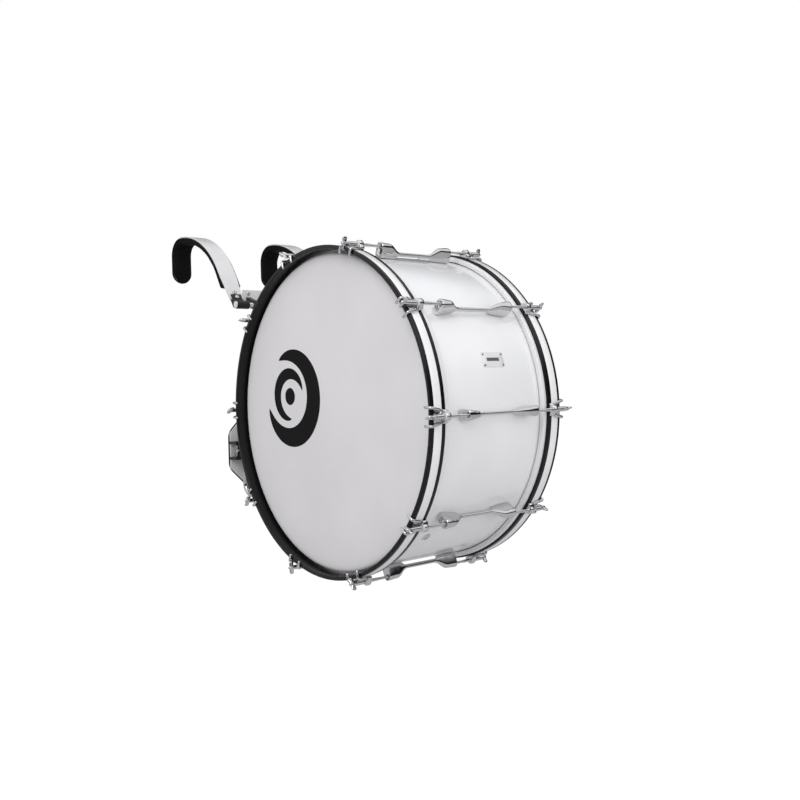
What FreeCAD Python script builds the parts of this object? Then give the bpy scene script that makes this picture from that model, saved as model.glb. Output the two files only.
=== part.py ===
import FreeCAD, Part
import math
import os
from FreeCAD import Vector

# Marching bass drum on its shoulder carrier, in millimetres.
# While it is modelled, the drum's centre is at (0, 0, 0): X runs along the drum's axis, with the wearer's
# right hand at -X, +Y points at the wearer and +Z is up. Every piece is moved at the end, so that the
# origin is midway between the two shoulder rests, on the undersides of the pads.

X_AXIS = Vector(1, 0, 0)
Y_AXIS = Vector(0, 1, 0)
Z_AXIS = Vector(0, 0, 1)
RIGHT = -1
LEFT = 1

# ---- drum: shell, heads and hoops ----
shell_diameter = 660.0
shell_depth = 305.0
shell_wall = 6.0
bearing_edge_width = 3.0

head_thickness = 0.5
head_skirt_gap = 0.7
flesh_hoop_width = 10.0
flesh_hoop_height = 10.0
flesh_hoop_gap = 1.0

hoop_width = 36.0
hoop_thickness = 8.5
hoop_overhang = 23.0
hoop_gap = 5.3
inlay_width = 18.7
inlay_depth = 0.8
inlay_setback = 7.5

# ---- drum: tension hardware ----
lug_count = 10
first_lug_angle = 18.0
rod_gap = 9.0

lug_length = 188.0
lug_housing_length = 54.0
lug_slope_length = 28.0
lug_end_width = 22.0
lug_neck_width = 7.0
lug_end_height = 32.0
lug_bar_gap = 6.0
lug_bar_thickness = 9.0
lug_foot_gap = 0.2
lug_pocket_depth = 26.0

nut_radius = 5.5
nut_length = 16.0
nut_depth = 6.0
nut_gap = 0.1

rod_thread_radius = 3.0
rod_shank_radius = 3.5
rod_engagement = 25.0
rod_shank_length = 27.0
rod_neck_length = 5.0
rod_grip_radius = 5.0
running_gap = 0.05

claw_body_width = 26.0
claw_body_length = 10.0
claw_body_inset = 1.5
claw_prong_radius = 3.0
claw_prong_spread_outer = 34.0
claw_prong_spread_inner = 20.0
claw_hook_reach = 14.0
claw_gap = 0.2
claw_cap_height = 8.0

washer_radius = 7.0
washer_thickness = 1.5

wing_clear = 1.5
wing_length = 13.0
wing_span = 28.0
wing_thickness = 7.0
wing_turn_step = 176.0

# ---- drum: shell fittings ----
lug_screw_radius = 2.5
lug_screw_head_radius = 5.0
lug_screw_head_height = 3.0
lug_screw_depth = 14.0
lug_screw_inset = 20.0
screw_seat_gap = 0.1

vent_angle = 137.0
vent_offset = -88.0
vent_bore_radius = 4.0
vent_barrel_radius = 6.0
vent_flange_radius = 9.5
vent_flange_thickness = 1.5

badge_angle = 72.0
badge_offset = 15.0
badge_length = 58.0
badge_width = 30.0
badge_thickness = 1.0
badge_rivet_radius = 1.8
badge_rivet_inset = 4.0
badge_rivet_head = 0.8

# ---- carrier: J rods and the eyelets that hang on them ----
j_rod_radius = 6.35
j_rod_bend_radius = 25.0
j_rod_wing_gap = 40.0
j_rod_bend_gap = 2.7
j_rod_leg_stand = 24.0
j_rod_tip_stand = 4.0

eyelet_drop_angle = 29.4
eyelet_height = 24.0
eyelet_wall = 5.85
eyelet_stand = 26.5
eyelet_side_gap = 1.0
eyelet_bore_gap = 0.3
eyelet_screw_radius = 2.5
eyelet_screw_spacing = 12.0
eyelet_screw_depth = 11.0
collar_wall = 4.65
collar_thickness = 6.0
seat_gap = 0.3

# ---- carrier: belly plate ----
belly_z = -101.0
belly_height = 180.0
belly_chamfer = 47.0
belly_plate_thickness = 3.5
belly_pad_thickness = 14.0
belly_pad_overhang = 3.0
glue_line = 0.2

clamp_width = 50.0
clamp_leg_depth = 16.0
clamp_outer_reach = 33.0
clamp_overhang = 2.0
clamp_height = 44.0
clamp_depth = 30.0
clamp_notch_width = 19.0
clamp_lip_height = 6.0

wing_screw_radius = 3.0
wing_screw_hub_radius = 6.0
wing_screw_hub_length = 8.0
wing_screw_wing_span = 26.0
wing_screw_wing_length = 12.0
wing_screw_wing_thickness = 4.0
wing_screw_end_gap = 0.6
wing_screw_hub_gap = 0.5

# ---- carrier: spine and its slider ----
spine_width = 40.0
spine_thickness = 6.0
spine_setback = 20.0
spine_top_z = 290.0
spine_bottom_reach = 87.0
slider_width = 64.0
slider_height = 50.0
slider_wall = 10.0
slider_gap = 0.3
knob_radius = 18.0
knob_height = 18.0
knob_stud_radius = 4.0
knob_lobes = 6
knob_lobe_radius = 5.0
knob_gap = 1.0

# ---- carrier: crossbar, cross tube and shoulder hinges ----
crossbar_length = 224.0
crossbar_height = 26.0
crossbar_thickness = 4.0
tube_radius = 9.0
tube_wall = 2.0
tube_drop = 26.0
ear_inner_face = 91.0
ear_thickness = 12.0
ear_pivot_radius = 10.0
ear_tube_boss = 3.5
ear_cap = 2.0
ear_tab_thickness = 6.0
ear_tab_drop = 2.0
crossbar_slot_gap = 0.2
pivot_forward = 32.0
pivot_drop = 39.0
pin_radius = 6.0
pin_head_radius = 8.5
pin_head_thickness = 3.0
pin_bare_length = 14.0
knuckle_length = 32.0
knuckle_radius = 10.0
knuckle_side_gap = 0.4

# ---- carrier: shoulder rests ----
shoulder_offset = 135.0
strap_width = 46.0
strap_end_width = 37.0
strap_thickness = 3.5
strap_forward = 10.0
strap_drop = 24.0
strap_slope = 57.0
strap_straight = 84.6
strap_front_radius = 232.0
strap_back_radius = 47.0
strap_tail = 38.0
strap_taper_length = 70.0
pad_width = 54.0
pad_thickness = 12.0
pad_start = 40.0
pad_tail = 41.0
bracket_width = 26.0
bracket_leg = 4.0
bracket_front_reach = 12.0
bracket_rear_reach = 28.0
bracket_foot = 20.0
shoulder_bolt_radius = 3.0
shoulder_bolt_head_radius = 5.5
shoulder_bolt_head_height = 3.0
shoulder_bolt_places = (3.6, 20.3)

frame_bolt_radius = 2.5
frame_bolt_head_radius = 4.5
frame_bolt_head_height = 2.5
frame_bolt_end_drop = 9.0
frame_bolt_spine_spacing = 22.0
frame_bolt_end_depth = 5.0

# ---- sizes worked out from the ones above ----
shell_radius = shell_diameter / 2
half_depth = shell_depth / 2
flesh_inner_radius = shell_radius + flesh_hoop_gap
flesh_outer_radius = flesh_inner_radius + flesh_hoop_height
hoop_inner_radius = shell_radius + head_skirt_gap + head_thickness + hoop_gap
hoop_outer_radius = hoop_inner_radius + hoop_thickness
hoop_outer_face = half_depth + hoop_overhang
hoop_inner_face = hoop_outer_face - hoop_width
rod_radius_line = hoop_outer_radius + rod_gap
lug_half = lug_length / 2
lug_angles = [first_lug_angle + 360.0 / lug_count * k for k in range(lug_count)]
claw_body_outer = hoop_inner_face + claw_body_inset + claw_body_length
claw_body_inner = claw_body_outer - claw_body_length
rod_shoulder = claw_body_outer + washer_thickness
wing_start = hoop_outer_face + wing_clear
eyelet_z = -shell_radius * math.sin(math.radians(eyelet_drop_angle))
eyelet_radius = j_rod_radius + eyelet_bore_gap + eyelet_wall
collar_radius = j_rod_radius + collar_wall
collar_top_z = eyelet_z - eyelet_height / 2 - seat_gap
j_rod_offset = hoop_inner_face - flesh_hoop_width - eyelet_side_gap - eyelet_radius
j_rod_tip_y = math.sqrt(shell_radius ** 2 - eyelet_z ** 2) + eyelet_stand
j_rod_leg_y = rod_radius_line + wing_span / 2 + j_rod_wing_gap
j_rod_bottom_z = collar_top_z - collar_thickness - j_rod_bend_gap - j_rod_bend_radius
j_rod_top_z = belly_z + clamp_height / 2 + j_rod_leg_stand
j_rod_tip_z = eyelet_z + eyelet_height / 2 + j_rod_tip_stand
clamp_outer_face = j_rod_offset + clamp_outer_reach
belly_front_y = j_rod_leg_y + clamp_leg_depth
belly_width = 2 * (clamp_outer_face - clamp_overhang)
crossbar_front_y = belly_front_y - spine_setback
tube_z = spine_top_z - tube_drop
pivot_y = crossbar_front_y - pivot_forward
pivot_z = spine_top_z - pivot_drop
strap_start_y = crossbar_front_y - strap_forward
strap_start_z = spine_top_z - strap_drop
spine_bottom_z = belly_z - spine_bottom_reach
tube_y = crossbar_front_y + crossbar_thickness + tube_radius
spine_back_y = crossbar_front_y
spine_front_y = spine_back_y - spine_thickness
slider_front_y = spine_front_y - slider_gap - slider_wall
ear_outer_face = ear_inner_face + ear_thickness
knuckle_inner_face = ear_outer_face + pin_bare_length
strap_angle = math.radians(strap_slope)
crown_y = (strap_start_y + strap_straight * math.cos(strap_angle)
           + strap_front_radius * math.sin(strap_angle))
crown_z = (strap_start_z + strap_straight * math.sin(strap_angle)
           + strap_front_radius * (1 - math.cos(strap_angle)))
pad_underside = strap_thickness + glue_line + pad_thickness
ORIGIN = Vector(0, crown_y, crown_z - pad_underside)

written = []


def write(name, solids):
    """Write one node: its solids, moved so that the shoulder rests' middle is the origin."""
    solids = solids if isinstance(solids, list) else [solids]
    moved = []
    for solid in solids:
        solid = solid.copy()
        solid.translate(-ORIGIN)
        moved.append(solid)
    shape = moved[0] if len(moved) == 1 else Part.makeCompound(moved)
    shape.exportStep("parts/" + name + ".step")
    written.append(name)


def box(x0, x1, y0, y1, z0, z1):
    """A block between two corners, given in any order."""
    low = Vector(min(x0, x1), min(y0, y1), min(z0, z1))
    return Part.makeBox(abs(x1 - x0), abs(y1 - y0), abs(z1 - z0), low)


def rod(radius, start, end):
    """A round bar between two points."""
    return Part.makeCylinder(radius, (end - start).Length, start, end - start)


def tube_between(outer, inner, x0, x1):
    """A ring about the drum's axis, between two places along it."""
    low, high = min(x0, x1), max(x0, x1)
    start = Vector(low, 0, 0)
    ring = Part.makeCylinder(outer, high - low, start, X_AXIS)
    return ring.cut(Part.makeCylinder(inner, high - low, start, X_AXIS))


def polygon(points):
    """A flat face through the points."""
    return Part.Face(Part.makePolygon(points + [points[0]]))


def spin(profile):
    """Turn a profile of (place along X, radius) once round the X axis."""
    face = polygon([Vector(x, 0, r) for x, r in profile])
    return face.revolve(Vector(0, 0, 0), X_AXIS, 360)


def about_axis(shape, angle):
    """Turn a copy about the drum's axis, from the top towards the side away from the wearer."""
    turned = shape.copy()
    turned.rotate(Vector(0, 0, 0), X_AXIS, angle)
    return turned


def mirrored(shape):
    """The same piece for the other end of the drum or the other shoulder."""
    return shape.mirror(Vector(0, 0, 0), X_AXIS)


def on_side(shape, side):
    """A shape made for the left (+X) side, handed for the side asked for."""
    return shape if side == LEFT else mirrored(shape)


def name_of(side):
    return "left" if side == LEFT else "right"


# ---- shell with its bearing edges and holes ----
def radial_hole(radius, x, angle, r0, r1):
    """A round cutter along a radius of the drum."""
    return about_axis(rod(radius, Vector(x, 0, r0), Vector(x, 0, r1)), angle)


def lug_screw_places():
    """Where the two screws of a lug cross the shell, along X."""
    return (lug_half - lug_screw_inset, -lug_half + lug_screw_inset)


def eyelet_angle():
    """The clock angle of the eyelets, on the wearer's side and below the middle."""
    return 270.0 + math.degrees(math.asin(eyelet_z / shell_radius))


def eyelet_screw_xs(side):
    half = eyelet_screw_spacing / 2
    return (side * j_rod_offset - half, side * j_rod_offset + half)


def make_shell():
    inner = shell_radius - shell_wall
    tip = shell_radius - bearing_edge_width
    profile = [(-half_depth, tip), (-half_depth + bearing_edge_width, shell_radius),
               (half_depth - bearing_edge_width, shell_radius), (half_depth, tip),
               (half_depth - (tip - inner), inner), (-half_depth + (tip - inner), inner)]
    shell = spin(profile)
    r0, r1 = inner - 5, shell_radius + 5
    holes = [radial_hole(lug_screw_radius, x, a, r0, r1) for a in lug_angles for x in lug_screw_places()]
    holes += [radial_hole(eyelet_screw_radius, x, eyelet_angle(), r0, r1)
              for side in (RIGHT, LEFT) for x in eyelet_screw_xs(side)]
    holes.append(radial_hole(vent_barrel_radius, vent_offset, vent_angle, r0, r1))
    for x, across in badge_rivet_places():
        holes.append(badge_cutter(badge_rivet_radius, x, across, r0, r1))
    return shell.cut(Part.makeCompound(holes))


# ---- heads, flesh hoops and counterhoops, made for the left end ----
def make_head():
    """A film stretched over the bearing edge, with a skirt down to its flesh hoop."""
    face = half_depth + head_skirt_gap
    skirt = shell_radius + head_skirt_gap
    inner_end = hoop_inner_face - flesh_hoop_width / 2
    edge = bearing_edge_width
    t = head_thickness
    profile = [(face, 0), (face + t, 0), (face + t, shell_radius - edge), (face - edge + t, skirt + t),
               (inner_end, skirt + t), (inner_end, skirt), (face - edge, skirt), (face, shell_radius - edge)]
    return spin(profile)


def make_flesh_hoop():
    """The ring that grips the head's skirt: a channel, open towards the skirt."""
    x0 = hoop_inner_face - flesh_hoop_width
    ring = tube_between(flesh_outer_radius, flesh_inner_radius, x0, hoop_inner_face)
    slot_inner = shell_radius + head_skirt_gap
    slot_outer = slot_inner + head_thickness
    return ring.cut(tube_between(slot_outer, slot_inner, hoop_inner_face - flesh_hoop_width / 2,
                                 hoop_inner_face))


def make_hoop():
    """A bent wooden hoop with a groove round its outside for the inlay."""
    hoop = tube_between(hoop_outer_radius, hoop_inner_radius, hoop_inner_face, hoop_outer_face)
    outer = hoop_outer_face - inlay_setback
    groove = tube_between(hoop_outer_radius + 1, hoop_outer_radius - inlay_depth, outer - inlay_width, outer)
    return hoop.cut(groove)


def make_inlay():
    outer = hoop_outer_face - inlay_setback
    return tube_between(hoop_outer_radius, hoop_outer_radius - inlay_depth, outer - inlay_width, outer)


# ---- tension hardware, made at the top of the drum, where the radius is +Z and across is Y ----
def make_lug():
    """A double-ended lug: two flared housings that stand on the shell, joined by a slim bar."""
    neck = lug_half - lug_housing_length
    foot = shell_radius + lug_foot_gap
    end_top = shell_radius + lug_end_height
    bar_low = shell_radius + lug_bar_gap
    bar_top = bar_low + lug_bar_thickness
    shoulder = neck + lug_slope_length
    side_view = [(lug_half, foot), (lug_half, end_top), (shoulder, end_top - 1), (neck, bar_top), (-neck, bar_top),
                 (-shoulder, end_top - 1), (-lug_half, end_top), (-lug_half, foot), (-neck - 9, foot), (-neck, bar_low),
                 (neck, bar_low), (neck + 9, foot)]
    half_end = lug_end_width / 2
    half_neck = lug_neck_width / 2
    top_view = [(lug_half, half_end), (lug_half, -half_end), (neck, -half_neck), (-neck, -half_neck),
                (-lug_half, -half_end), (-lug_half, half_end), (-neck, half_neck), (neck, half_neck)]
    side = polygon([Vector(x, -half_end, z) for x, z in side_view]).extrude(Vector(0, lug_end_width, 0))
    top = polygon([Vector(x, y, foot) for x, y in top_view]).extrude(Vector(0, 0, lug_end_height))
    lug = side.common(top)
    for sign in (-1, 1):
        mouth = Vector(sign * (lug_half + 1), 0, rod_radius_line)
        bottom = Vector(sign * (lug_half - lug_pocket_depth), 0, rod_radius_line)
        lug = lug.cut(rod(nut_radius + nut_gap, mouth, bottom))
    for x in lug_screw_places():
        lug = lug.cut(rod(lug_screw_radius, Vector(x, 0, foot - 1), Vector(x, 0, foot + lug_screw_depth)))
    return lug


def make_nut():
    """The threaded nut that floats in a lug's pocket, for the left end."""
    outer = lug_half - nut_depth
    start, end = Vector(outer - nut_length, 0, rod_radius_line), Vector(outer, 0, rod_radius_line)
    return rod(nut_radius, start, end).cut(rod(rod_thread_radius + running_gap, start, end))


def make_lug_screw(x):
    """A screw from inside the shell into a lug."""
    seat = shell_radius - shell_wall - screw_seat_gap
    head = rod(lug_screw_head_radius, Vector(x, 0, seat - lug_screw_head_height), Vector(x, 0, seat))
    tip = shell_radius + lug_foot_gap + lug_screw_depth - 1
    return head.fuse(rod(lug_screw_radius, Vector(x, 0, seat - 1), Vector(x, 0, tip))).removeSplitter()


def claw_prong(side):
    """A round prong that leaves the claw's body, spreads over the hoop and hooks over its outer face."""
    height = hoop_outer_radius + claw_gap + claw_prong_radius
    over = hoop_outer_face + claw_gap + claw_prong_radius
    root = Vector(claw_body_inner + 5, side * claw_prong_spread_inner / 2, height)
    crest = Vector(over, side * claw_prong_spread_outer / 2, height)
    tip = Vector(over, crest.y, hoop_outer_radius - claw_hook_reach)
    prong = rod(claw_prong_radius, root, crest)
    prong = prong.fuse(Part.makeSphere(claw_prong_radius, crest))
    prong = prong.fuse(rod(claw_prong_radius, crest, tip))
    return prong.fuse(Part.makeSphere(claw_prong_radius, tip))


def make_claw():
    """A claw hook for the left end: a bored body behind the hoop's white band, and two prongs."""
    low = hoop_outer_radius + claw_gap
    top = rod_radius_line + claw_cap_height
    half = claw_body_width / 2
    block = box(claw_body_inner, claw_body_outer, -half, half, low, rod_radius_line)
    cap = rod(claw_cap_height, Vector(claw_body_inner, 0, rod_radius_line),
              Vector(claw_body_outer, 0, rod_radius_line))
    claw = block.fuse(cap)
    for side in (-1, 1):
        claw = claw.fuse(claw_prong(side))
    bore = rod(rod_shank_radius + running_gap, Vector(claw_body_inner - 1, 0, rod_radius_line),
               Vector(claw_body_outer + 1, 0, rod_radius_line))
    claw = claw.cut(bore)
    grip_way = rod(washer_radius + 0.5, Vector(claw_body_outer, 0, rod_radius_line),
                   Vector(hoop_outer_face + 8, 0, rod_radius_line))
    return claw.cut(grip_way).removeSplitter()


def make_washer():
    start = Vector(claw_body_outer, 0, rod_radius_line)
    end = Vector(rod_shoulder, 0, rod_radius_line)
    return rod(washer_radius, start, end).cut(rod(rod_shank_radius + running_gap, start, end))


def make_t_rod(turn):
    """A tension rod for the left end: thread, shank, grip and a flattened cross wing."""
    inner_end = lug_half - rod_engagement
    shank_start = claw_body_inner - rod_shank_length + claw_body_length
    shoulder = rod_shoulder + screw_seat_gap
    wing_end = wing_start + wing_length
    r_thread, r_shank, r_grip = rod_thread_radius, rod_shank_radius, rod_grip_radius
    profile = [(inner_end, 0), (inner_end, r_thread), (shank_start - rod_neck_length, r_thread),
               (shank_start, r_shank), (shoulder, r_shank), (shoulder, r_grip), (wing_start, r_grip),
               (wing_end, r_grip * 0.7), (wing_end, 0)]
    body = spin(profile)
    half_span, half_thick = wing_span / 2, wing_thickness / 2
    outline = [Vector(wing_start, -half_thick, half_span * 0.6), Vector(wing_start + 4, -half_thick, half_span),
               Vector(wing_end - 3, -half_thick, half_span), Vector(wing_end, -half_thick, half_span * 0.6),
               Vector(wing_end, -half_thick, -half_span * 0.6), Vector(wing_end - 3, -half_thick, -half_span),
               Vector(wing_start + 4, -half_thick, -half_span), Vector(wing_start, -half_thick, -half_span * 0.6)]
    wing = polygon(outline).extrude(Vector(0, wing_thickness, 0))
    rod_shape = body.fuse(wing).removeSplitter()
    rod_shape.rotate(Vector(0, 0, 0), X_AXIS, turn)
    rod_shape.translate(Vector(0, 0, rod_radius_line))
    return rod_shape


# ---- air vent and badge ----
def make_vent():
    """A steel grommet through the shell."""
    r_shell = shell_radius
    barrel = rod(vent_barrel_radius, Vector(vent_offset, 0, r_shell - shell_wall - 1),
                 Vector(vent_offset, 0, r_shell + vent_flange_thickness))
    flange = rod(vent_flange_radius, Vector(vent_offset, 0, r_shell + screw_seat_gap),
                 Vector(vent_offset, 0, r_shell + vent_flange_thickness))
    bore = rod(vent_bore_radius, Vector(vent_offset, 0, r_shell - shell_wall - 2),
               Vector(vent_offset, 0, r_shell + vent_flange_thickness + 1))
    return about_axis(barrel.fuse(flange).cut(bore).removeSplitter(), vent_angle)


def badge_rivet_places():
    """The badge's four rivets, as places along X and across the shell."""
    half_x = badge_length / 2 - badge_rivet_inset
    half_across = badge_width / 2 - badge_rivet_inset
    return [(badge_offset + sx * half_x, sy * half_across) for sx in (-1, 1) for sy in (-1, 1)]


def badge_cutter(radius, x, across, r0, r1):
    """A round bar along the radius that passes through a place across the badge."""
    turn = math.degrees(across / shell_radius)
    return about_axis(rod(radius, Vector(x, 0, r0), Vector(x, 0, r1)), badge_angle - turn)


def make_badge():
    """A blank plate bent to the shell."""
    x0, x1 = badge_offset - badge_length / 2, badge_offset + badge_length / 2
    ring = tube_between(shell_radius + badge_thickness, shell_radius, x0, x1)
    half = badge_width / 2
    piece = ring.common(box(x0, x1, -half, half, 0, shell_radius + 20))
    piece = about_axis(piece, badge_angle)
    holes = [badge_cutter(badge_rivet_radius, x, across, shell_radius - 1, shell_radius + 5)
             for x, across in badge_rivet_places()]
    return piece.cut(Part.makeCompound(holes))


def make_badge_rivet(x, across):
    top = shell_radius + badge_thickness
    shank = badge_cutter(badge_rivet_radius, x, across, shell_radius - shell_wall, top + badge_rivet_head)
    head = badge_cutter(badge_rivet_radius * 1.6, x, across, top + 0.05, top + badge_rivet_head)
    return shank.fuse(head).removeSplitter()


# ---- eyelets on the shell and the J rods that carry the drum ----
def make_eyelet(side):
    """A block bolted to the shell, with an upright hole that drops over a J rod."""
    x = side * j_rod_offset
    z0, z1 = eyelet_z - eyelet_height / 2, eyelet_z + eyelet_height / 2
    half = eyelet_radius
    start_y = shell_radius * 0.7
    block = box(x - half, x + half, start_y, j_rod_tip_y - eyelet_radius / 2, z0, z1)
    boss = rod(eyelet_radius, Vector(x, j_rod_tip_y, z0), Vector(x, j_rod_tip_y, z1))
    eyelet = block.fuse(boss)
    clear = Part.makeCylinder(shell_radius + lug_foot_gap, shell_depth * 2, Vector(-shell_depth, 0, 0), X_AXIS)
    eyelet = eyelet.cut(clear)
    hole = rod(j_rod_radius + eyelet_bore_gap, Vector(x, j_rod_tip_y, z0 - 1), Vector(x, j_rod_tip_y, z1 + 1))
    eyelet = eyelet.cut(hole)
    for sx in eyelet_screw_xs(side):
        eyelet = eyelet.cut(radial_hole(eyelet_screw_radius, sx, eyelet_angle(), shell_radius - 2,
                                        shell_radius + eyelet_screw_depth + 1))
    return eyelet.removeSplitter()


def make_eyelet_screw(x):
    seat = shell_radius - shell_wall - screw_seat_gap
    head = radial_hole(eyelet_screw_radius * 2, x, eyelet_angle(), seat - 3, seat)
    shank = radial_hole(eyelet_screw_radius, x, eyelet_angle(), seat - 1, shell_radius + eyelet_screw_depth)
    return head.fuse(shank).removeSplitter()


def arc_edge(start, middle, end):
    return Part.Arc(start, middle, end).toShape()


def line_edge(start, end):
    return Part.LineSegment(start, end).toShape()


def make_j_rod(side):
    """A steel rod bent twice: a leg in the belly clamp, a run under the drum and a tip that points up."""
    x = side * j_rod_offset
    bend = j_rod_bend_radius
    diagonal = bend * (1 - math.sqrt(0.5))
    leg_y, tip_y, low = j_rod_leg_y, j_rod_tip_y, j_rod_bottom_z
    top = Vector(x, leg_y, j_rod_top_z)
    leg_end = Vector(x, leg_y, low + bend)
    bend_one = Vector(x, leg_y - diagonal, low + diagonal)
    run_start = Vector(x, leg_y - bend, low)
    run_end = Vector(x, tip_y + bend, low)
    bend_two = Vector(x, tip_y + diagonal, low + diagonal)
    tip_start = Vector(x, tip_y, low + bend)
    tip = Vector(x, tip_y, j_rod_tip_z)
    path = Part.Wire([line_edge(top, leg_end), arc_edge(leg_end, bend_one, run_start),
                      line_edge(run_start, run_end), arc_edge(run_end, bend_two, tip_start),
                      line_edge(tip_start, tip)])
    section = Part.Wire([Part.Circle(top, Z_AXIS, j_rod_radius).toShape()])
    return path.makePipeShell([section], True, False)


def make_collar(side):
    """A rubber collar on a J rod, for the eyelet to sit on."""
    x = side * j_rod_offset
    start = Vector(x, j_rod_tip_y, collar_top_z - collar_thickness)
    end = Vector(x, j_rod_tip_y, collar_top_z)
    return rod(collar_radius, start, end).cut(rod(j_rod_radius, start, end))


# ---- belly plate, its pad and what is bolted to it ----
def octagon(width, height, y, thickness):
    """A plate with its four corners cut off, standing across Y."""
    half, tall, cut = width / 2, height / 2, belly_chamfer
    outline = [(-half, tall - cut), (-half + cut, tall), (half - cut, tall), (half, tall - cut),
               (half, -tall + cut), (half - cut, -tall), (-half + cut, -tall), (-half, -tall + cut)]
    return polygon([Vector(x, y, belly_z + z) for x, z in outline]).extrude(Vector(0, thickness, 0))


def make_clamp(side):
    """The block that grips a J rod's leg, with a recess where the wing screw turns."""
    outer, inner = clamp_outer_face, clamp_outer_face - clamp_width
    z0, z1 = belly_z - clamp_height / 2, belly_z + clamp_height / 2
    y0, y1 = belly_front_y - clamp_depth, belly_front_y
    block = box(inner, outer, y0, y1, z0, z1)
    notch = box(outer - clamp_notch_width, outer + 1, y0 - 1, y1 + 1, z0 + clamp_lip_height,
                z1 - clamp_lip_height)
    block = block.cut(notch)
    bore = rod(j_rod_radius + running_gap, Vector(j_rod_offset, j_rod_leg_y, z0 - 1),
               Vector(j_rod_offset, j_rod_leg_y, z1 + 1))
    block = block.cut(bore)
    screw_hole = rod(wing_screw_radius + running_gap, Vector(j_rod_offset, j_rod_leg_y, belly_z),
                     Vector(outer, j_rod_leg_y, belly_z))
    return on_side(block.cut(screw_hole), side)


def make_wing_screw(side):
    """A screw that presses on the J rod, with two upright wings."""
    inner = j_rod_offset + j_rod_radius + wing_screw_end_gap
    face = clamp_outer_face - clamp_notch_width + wing_screw_hub_gap
    hub_end = face + wing_screw_hub_length
    centre = (j_rod_leg_y, belly_z)
    shank = rod(wing_screw_radius, Vector(inner, *centre), Vector(face + 1, *centre))
    hub = rod(wing_screw_hub_radius, Vector(face, *centre), Vector(hub_end, *centre))
    half, t = wing_screw_wing_span / 2, wing_screw_wing_thickness / 2
    outline = [(face + 2, 0), (face + 5, half * 0.9), (face + wing_screw_wing_length, half),
               (face + wing_screw_wing_length + 2, half * 0.6), (hub_end, 0),
               (face + wing_screw_wing_length + 2, -half * 0.6), (face + wing_screw_wing_length, -half),
               (face + 5, -half * 0.9)]
    wings = polygon([Vector(x, j_rod_leg_y - t, belly_z + z) for x, z in outline]).extrude(Vector(0, 2 * t, 0))
    return on_side(shank.fuse(hub).fuse(wings).removeSplitter(), side)


def make_spine():
    """The flat bar that joins the crossbar to the belly plate."""
    half = spine_width / 2
    spine = box(-half, half, spine_front_y, spine_back_y, spine_bottom_z, spine_top_z)
    for x in spine_bolt_xs():
        spine = spine.cut(rod(frame_bolt_radius, Vector(x, spine_front_y - 1, spine_bolt_z()),
                              Vector(x, spine_back_y + 1, spine_bolt_z())))
    return spine


def make_slider():
    """The box that slides on the spine and carries the belly plate."""
    half = slider_width / 2
    z0, z1 = belly_z - slider_height / 2, belly_z + slider_height / 2
    body = box(-half, half, slider_front_y, belly_front_y, z0, z1)
    slot_half = spine_width / 2 + slider_gap
    slot = box(-slot_half, slot_half, spine_front_y - slider_gap, spine_back_y + slider_gap, z0 - 1, z1 + 1)
    stud_hole = rod(knob_stud_radius + running_gap, Vector(0, slider_front_y - 1, belly_z),
                    Vector(0, spine_front_y - slider_gap / 2, belly_z))
    return body.cut(slot).cut(stud_hole)


def make_height_knob():
    """A lobed knob whose stud presses on the spine."""
    face = slider_front_y - knob_gap
    end = face - knob_height
    knob = rod(knob_radius - knob_lobe_radius / 2, Vector(0, end, belly_z), Vector(0, face, belly_z))
    for k in range(knob_lobes):
        turn = 2 * math.pi * k / knob_lobes
        reach = knob_radius - knob_lobe_radius
        x, z = reach * math.cos(turn), belly_z + reach * math.sin(turn)
        knob = knob.fuse(rod(knob_lobe_radius, Vector(x, end, z), Vector(x, face, z)))
    stud = rod(knob_stud_radius, Vector(0, face - 2, belly_z), Vector(0, spine_front_y - slider_gap * 2, belly_z))
    return knob.fuse(stud).removeSplitter()


# ---- crossbar, cross tube and the frame's half of the shoulder hinges ----
def crossbar_bottom_z():
    return spine_top_z - crossbar_height


def spine_bolt_xs():
    return (-frame_bolt_spine_spacing / 2, frame_bolt_spine_spacing / 2)


def spine_bolt_z():
    return spine_top_z - crossbar_height / 4


def end_bolt_z():
    return spine_top_z - frame_bolt_end_drop


def crossbar_end_bolt_xs():
    x = (ear_inner_face + ear_outer_face) / 2
    return (-x, x)


def make_crossbar():
    half = crossbar_length / 2
    back = crossbar_front_y + crossbar_thickness
    bar = box(-half, half, crossbar_front_y, back, crossbar_bottom_z(), spine_top_z)
    places = [(x, spine_bolt_z()) for x in spine_bolt_xs()]
    places += [(x, end_bolt_z()) for x in crossbar_end_bolt_xs()]
    for x, z in places:
        bar = bar.cut(rod(frame_bolt_radius, Vector(x, crossbar_front_y - 1, z), Vector(x, back + 1, z)))
    return bar


def make_cross_tube():
    half = ear_outer_face - ear_cap
    start, end = Vector(-half, tube_y, tube_z), Vector(half, tube_y, tube_z)
    return rod(tube_radius, start, end).cut(rod(tube_radius - tube_wall, start, end))


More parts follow.
